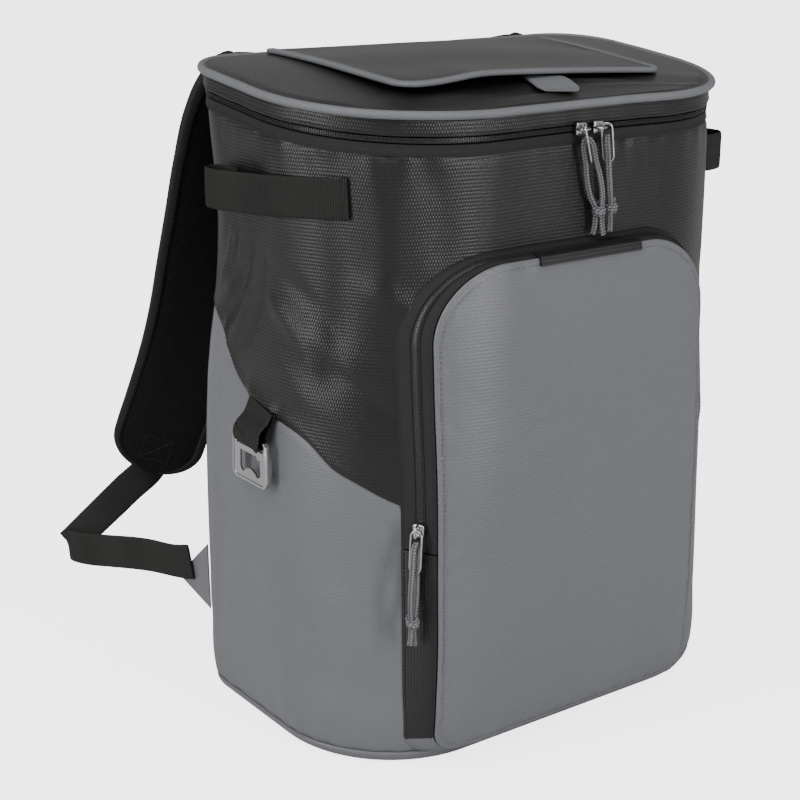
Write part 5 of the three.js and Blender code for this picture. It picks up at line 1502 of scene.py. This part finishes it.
class BAG_OT_pulls(Builder, bpy.types.Operator):
    """Zip sliders, their wire bails and the braided cord pulls"""
    bl_idname = "bag.pulls"
    bl_label = "Zip pulls"

    def build(self):
        form = self.form
        forward = np.array([0, -1.0, 0])

        def on_lid(x, drop, off):
            y = float(form.wall_y(x, form.z))
            return np.array([x, y - off, float(form.rim(x, y)) - drop])

        for name, x, wide, knot in LID_PULLS:
            self.pull(name, on_lid(x, SLIDER_DROP, SLIDER_OFF), forward, False, np.array(wide),
                      LID_BAIL, on_lid(*knot))
        column = POCKET_STRIP_END + 0.35
        at, normal = form.gusset(np.array([column]), np.array([0.55]), np.array([1.3]))
        out = normal[0] * [1, 1, 0]
        out = out / np.linalg.norm(out)
        wide = np.cross([0, 0, 1.0], out)
        self.pull("pocket_pull", at[0], out, True, wide, POCKET_BAIL,
                  at[0] + [0, 0, -58] + out * 9)

    def pull(self, name, at, out, upright, wide, bail, knot):
        """Slider, the wire bail that hangs toward the knot, and the cords."""
        self.slider(name, at, out, upright)
        width, length, cord_at = bail
        top = at + out * 4.05 + wide * (0 if upright else width / 2)
        top[2] += 0.6 if upright else 2.6
        hang = unit(knot - top)
        flat = unit(wide - hang * wide.dot(hang))
        r = width / 2
        a = np.linspace(0, math.pi, 15)
        ring = np.concatenate([np.stack([r * np.cos(a), r - r * np.sin(a)], 1),
                               np.stack([-r * np.cos(a), length - r + r * np.sin(a)], 1)])
        wire = top + flat * ring[:, :1] + hang * ring[:, 1:]
        loop = tube(name + "_wire", wire, self.sizes.wire * 500, self.looks["metal"], 12, True)
        place(loop, replaces=[name + "_bail"])
        start = top + hang * cord_at
        across = np.cross(hang, flat)
        share = (length - cord_at) / np.linalg.norm(knot - start)
        self.cords(name, start, across, knot, share)

    def slider(self, name, at, out, upright):
        """Rounded body, narrower at one end, with an arched bridge over its face."""
        side = np.cross([0, 0, 1.0], out)
        wide, long = (side, np.cross(side, out)) if upright else (
            np.array([0, 0, 1.0]), np.cross([0, 0, 1.0], out))
        t = np.linspace(-1, 1, 33)
        taper = 4.25 * (1 - np.abs(t) ** 7) ** 0.3 * (0.93 - 0.07 * t)
        tall = 1.35 * np.maximum(0.25, (1 - np.abs(t) ** 9)) ** 0.5
        rows = []
        for q in np.linspace(0, 2 * math.pi, 28, endpoint=False):
            across, rise = rounded(q, (0.55, 0.55))
            rows.append(at + wide * (taper * across)[:, None] + long * (4.45 * t)[:, None]
                        + out * (1.3 + tall * rise)[:, None])
        block = skin(name + "_body", np.stack(rows, 1), self.looks["metal"])
        place(block, replaces=[name + "_slider"])
        arch = [(-3.6, 1.8), (-3.7, 4.2), (-3.2, 5.9), (-1.6, 6.6), (1.6, 6.6), (3.2, 5.9),
                (3.7, 4.2), (3.6, 1.8)]
        path = spaced(np.array([at + long * a + out * b for a, b in arch]), 0.25)
        bridge = tube(name + "_bridge", path, 0.85, self.looks["metal"], 14)
        place(bridge)

    def cords(self, name, start, across, knot, share):
        """Two strands from the bail through the knot, and the knot's wrap."""
        radius = self.sizes.cord * 500
        half = np.array([(0.0, -0.035), (1.5, -0.01), (2.4, 0.03), (3.1, 0.2), (3.2, share),
                         (3.9, share + 0.14), (3.7, 0.8), (1.9, 1.0)])
        knot_piece = None
        for side, tag in ((-1, "a"), (1, "b")):
            path = [start + (knot - start) * t + across * (side * s) for s, t in half]
            tail = [knot + across * (side * s) + [0, 0, -t]
                    for s, t in ((1.9, 5), (2.4, 11), (3.4, 16 - side))]
            line = spaced(np.array(path + tail), 0.3)
            strand = tube(name + "_strand_" + tag, line, radius * 0.96, self.looks["cord"], 28,
                          rough=self.braid)
            place(strand)
            if knot_piece is None:
                knot_piece = self.knot(name, knot, radius)
        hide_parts(name + "_cord")

    @staticmethod
    def braid(run, angle):
        """Slanted stitches in four columns round the cord, as a knitted cord has."""
        column = angle / (math.pi / 2)
        side = np.floor(column) % 2 * 2 - 1
        dash = np.abs(np.sin(math.pi * (run / 1.9 + 0.8 * side * (column % 1))))
        return 0.3 * (dash * np.abs(np.sin(math.pi * column)) ** 0.6 - 0.5)

    def knot(self, name, knot, radius):
        t = np.linspace(0, 1, 90)
        a = t * 4.3 * math.pi
        path = np.stack([knot[0] + 2.7 * np.cos(a), knot[1] + 2.7 * np.sin(a),
                         knot[2] + 2.9 - 5.8 * t + 1.0 * np.sin(a + 0.6)], 1)
        wrap = tube(name + "_knot", spaced(path, 0.3), radius * 0.95, self.looks["cord"], 28,
                    rough=self.braid)
        return place(wrap)


# Lamps: place and target in m, width and height in m, power in W
LAMPS = (
    ("strip in front", (0.22, -2.0, 0.75), (0, 0, 0.3), (0.34, 1.5), 24),
    ("strip at the left", (-1.9, 0.13, 0.75), (0, 0, 0.3), (0.4, 1.5), 20),
    ("soft right", (1.7, -1.3, 0.9), (0, 0, 0.25), (0.9, 0.9), 1.5),
    ("low behind", (1.12, 1.55, 1.05), (0, 0, 0.44), (1.5, 0.5), 0.9))

# Camera: angles in degrees, target and distance in m, lens in mm
CAMERA = {"azimuth": -35.79, "elevation": 17.3, "target": (-0.0545, 0.0206, 0.2103),
          "distance": 1.1289, "lens": 73.6, "shift": (0.003, -0.004)}


class BAG_OT_studio(Builder, bpy.types.Operator):
    """Pale floor, soft light and the camera"""
    bl_idname = "bag.studio"
    bl_label = "Studio"

    def build(self):
        scene = bpy.context.scene
        mesh = bpy.data.meshes.new("floor")
        corners = [(-30, -30, 0), (30, -30, 0), (30, 30, 0), (-30, 30, 0)]
        mesh.from_pydata(corners, [], [(0, 1, 2, 3)])
        floor = bpy.data.objects.new("floor", mesh)
        scene.collection.objects.link(floor)
        pale = finish("pale floor", (0.6, 0.6, 0.6), 0.9, None, depth=0.01, contrast=0.01,
                      tone=0.01, size=2, specular=0.1)
        tree = pale.node_tree
        shader = tree.nodes["Principled BSDF"]
        seen = tree.nodes.new("ShaderNodeLightPath").outputs["Is Camera Ray"]
        glow = calc(tree, "MULTIPLY", seen, 3.2)
        tree.links.new(glow, shader.inputs["Emission Strength"])
        shader.inputs["Emission Color"].default_value = (1, 1, 1, 1)
        mesh.materials.append(pale)
        world = bpy.data.worlds.new("studio")
        world.use_nodes = True
        world.node_tree.nodes["Background"].inputs["Color"].default_value = (1, 1, 1, 1)
        world.node_tree.nodes["Background"].inputs["Strength"].default_value = 0.26
        scene.world = world
        self.sun()
        for lamp in LAMPS:
            self.light(*lamp)
        self.camera(scene)

    def sun(self):
        lamp = bpy.data.lights.new("overhead", "SUN")
        lamp.energy = 1.8
        lamp.angle = math.radians(60)
        obj = bpy.data.objects.new("overhead", lamp)
        obj.rotation_mode = "QUATERNION"
        obj.rotation_quaternion = Vector((-0.45, -0.3, 1)).to_track_quat("Z", "Y")
        bpy.context.scene.collection.objects.link(obj)

    def light(self, name, at, target, size, power):
        lamp = bpy.data.lights.new(name, "AREA")
        lamp.shape = "RECTANGLE"
        lamp.size, lamp.size_y = size
        lamp.energy = power
        obj = bpy.data.objects.new(name, lamp)
        obj.location = at
        obj.rotation_mode = "QUATERNION"
        obj.rotation_quaternion = (Vector(at) - Vector(target)).to_track_quat("Z", "Y")
        bpy.context.scene.collection.objects.link(obj)

    def camera(self, scene):
        azimuth, elevation = math.radians(CAMERA["azimuth"]), math.radians(CAMERA["elevation"])
        level = math.cos(elevation)
        back = Vector((math.sin(azimuth) * level, -math.cos(azimuth) * level,
                       math.sin(elevation)))
        data = bpy.data.cameras.new("camera")
        data.lens = CAMERA["lens"]
        data.shift_x, data.shift_y = CAMERA["shift"]
        data.sensor_width = 36
        data.clip_start = 0.05
        camera = bpy.data.objects.new("camera", data)
        camera.location = Vector(CAMERA["target"]) + back * CAMERA["distance"]
        camera.rotation_mode = "QUATERNION"
        camera.rotation_quaternion = back.to_track_quat("Z", "Y")
        scene.collection.objects.link(camera)
        scene.camera = camera


OPERATORS = (BAG_OT_body, BAG_OT_lid, BAG_OT_flap, BAG_OT_pocket, BAG_OT_handles, BAG_OT_straps,
             BAG_OT_opener, BAG_OT_pulls, BAG_OT_studio)


class BAG_PT_panel(bpy.types.Panel):
    """Sizes, colours and pieces of the bag"""
    bl_idname = "BAG_PT_panel"
    bl_label = "Cooler Backpack"
    bl_space_type = "VIEW_3D"
    bl_region_type = "UI"
    bl_category = "Cooler Backpack"

    def draw(self, context):
        layout = self.layout
        for group in (context.scene.bag_sizes, context.scene.bag_colours):
            column = layout.column(align=True)
            for key in group.__annotations__:
                column.prop(group, key)
        for operator in OPERATORS:
            layout.operator(operator.bl_idname)


CLASSES = (BagSizes, BagColours, *OPERATORS, BAG_PT_panel)


def register():
    for cls in CLASSES:
        bpy.utils.register_class(cls)
    bpy.types.Scene.bag_sizes = bpy.props.PointerProperty(type=BagSizes)
    bpy.types.Scene.bag_colours = bpy.props.PointerProperty(type=BagColours)


def unregister():
    del bpy.types.Scene.bag_colours
    del bpy.types.Scene.bag_sizes
    for cls in reversed(CLASSES):
        bpy.utils.unregister_class(cls)


def main():
    register()
    bpy.ops.bag.body()
    bpy.ops.bag.lid()
    bpy.ops.bag.flap()
    bpy.ops.bag.pocket()
    bpy.ops.bag.handles()
    bpy.ops.bag.straps()
    bpy.ops.bag.opener()
    bpy.ops.bag.pulls()
    bpy.ops.bag.studio()


if __name__ == "__main__":
    main()
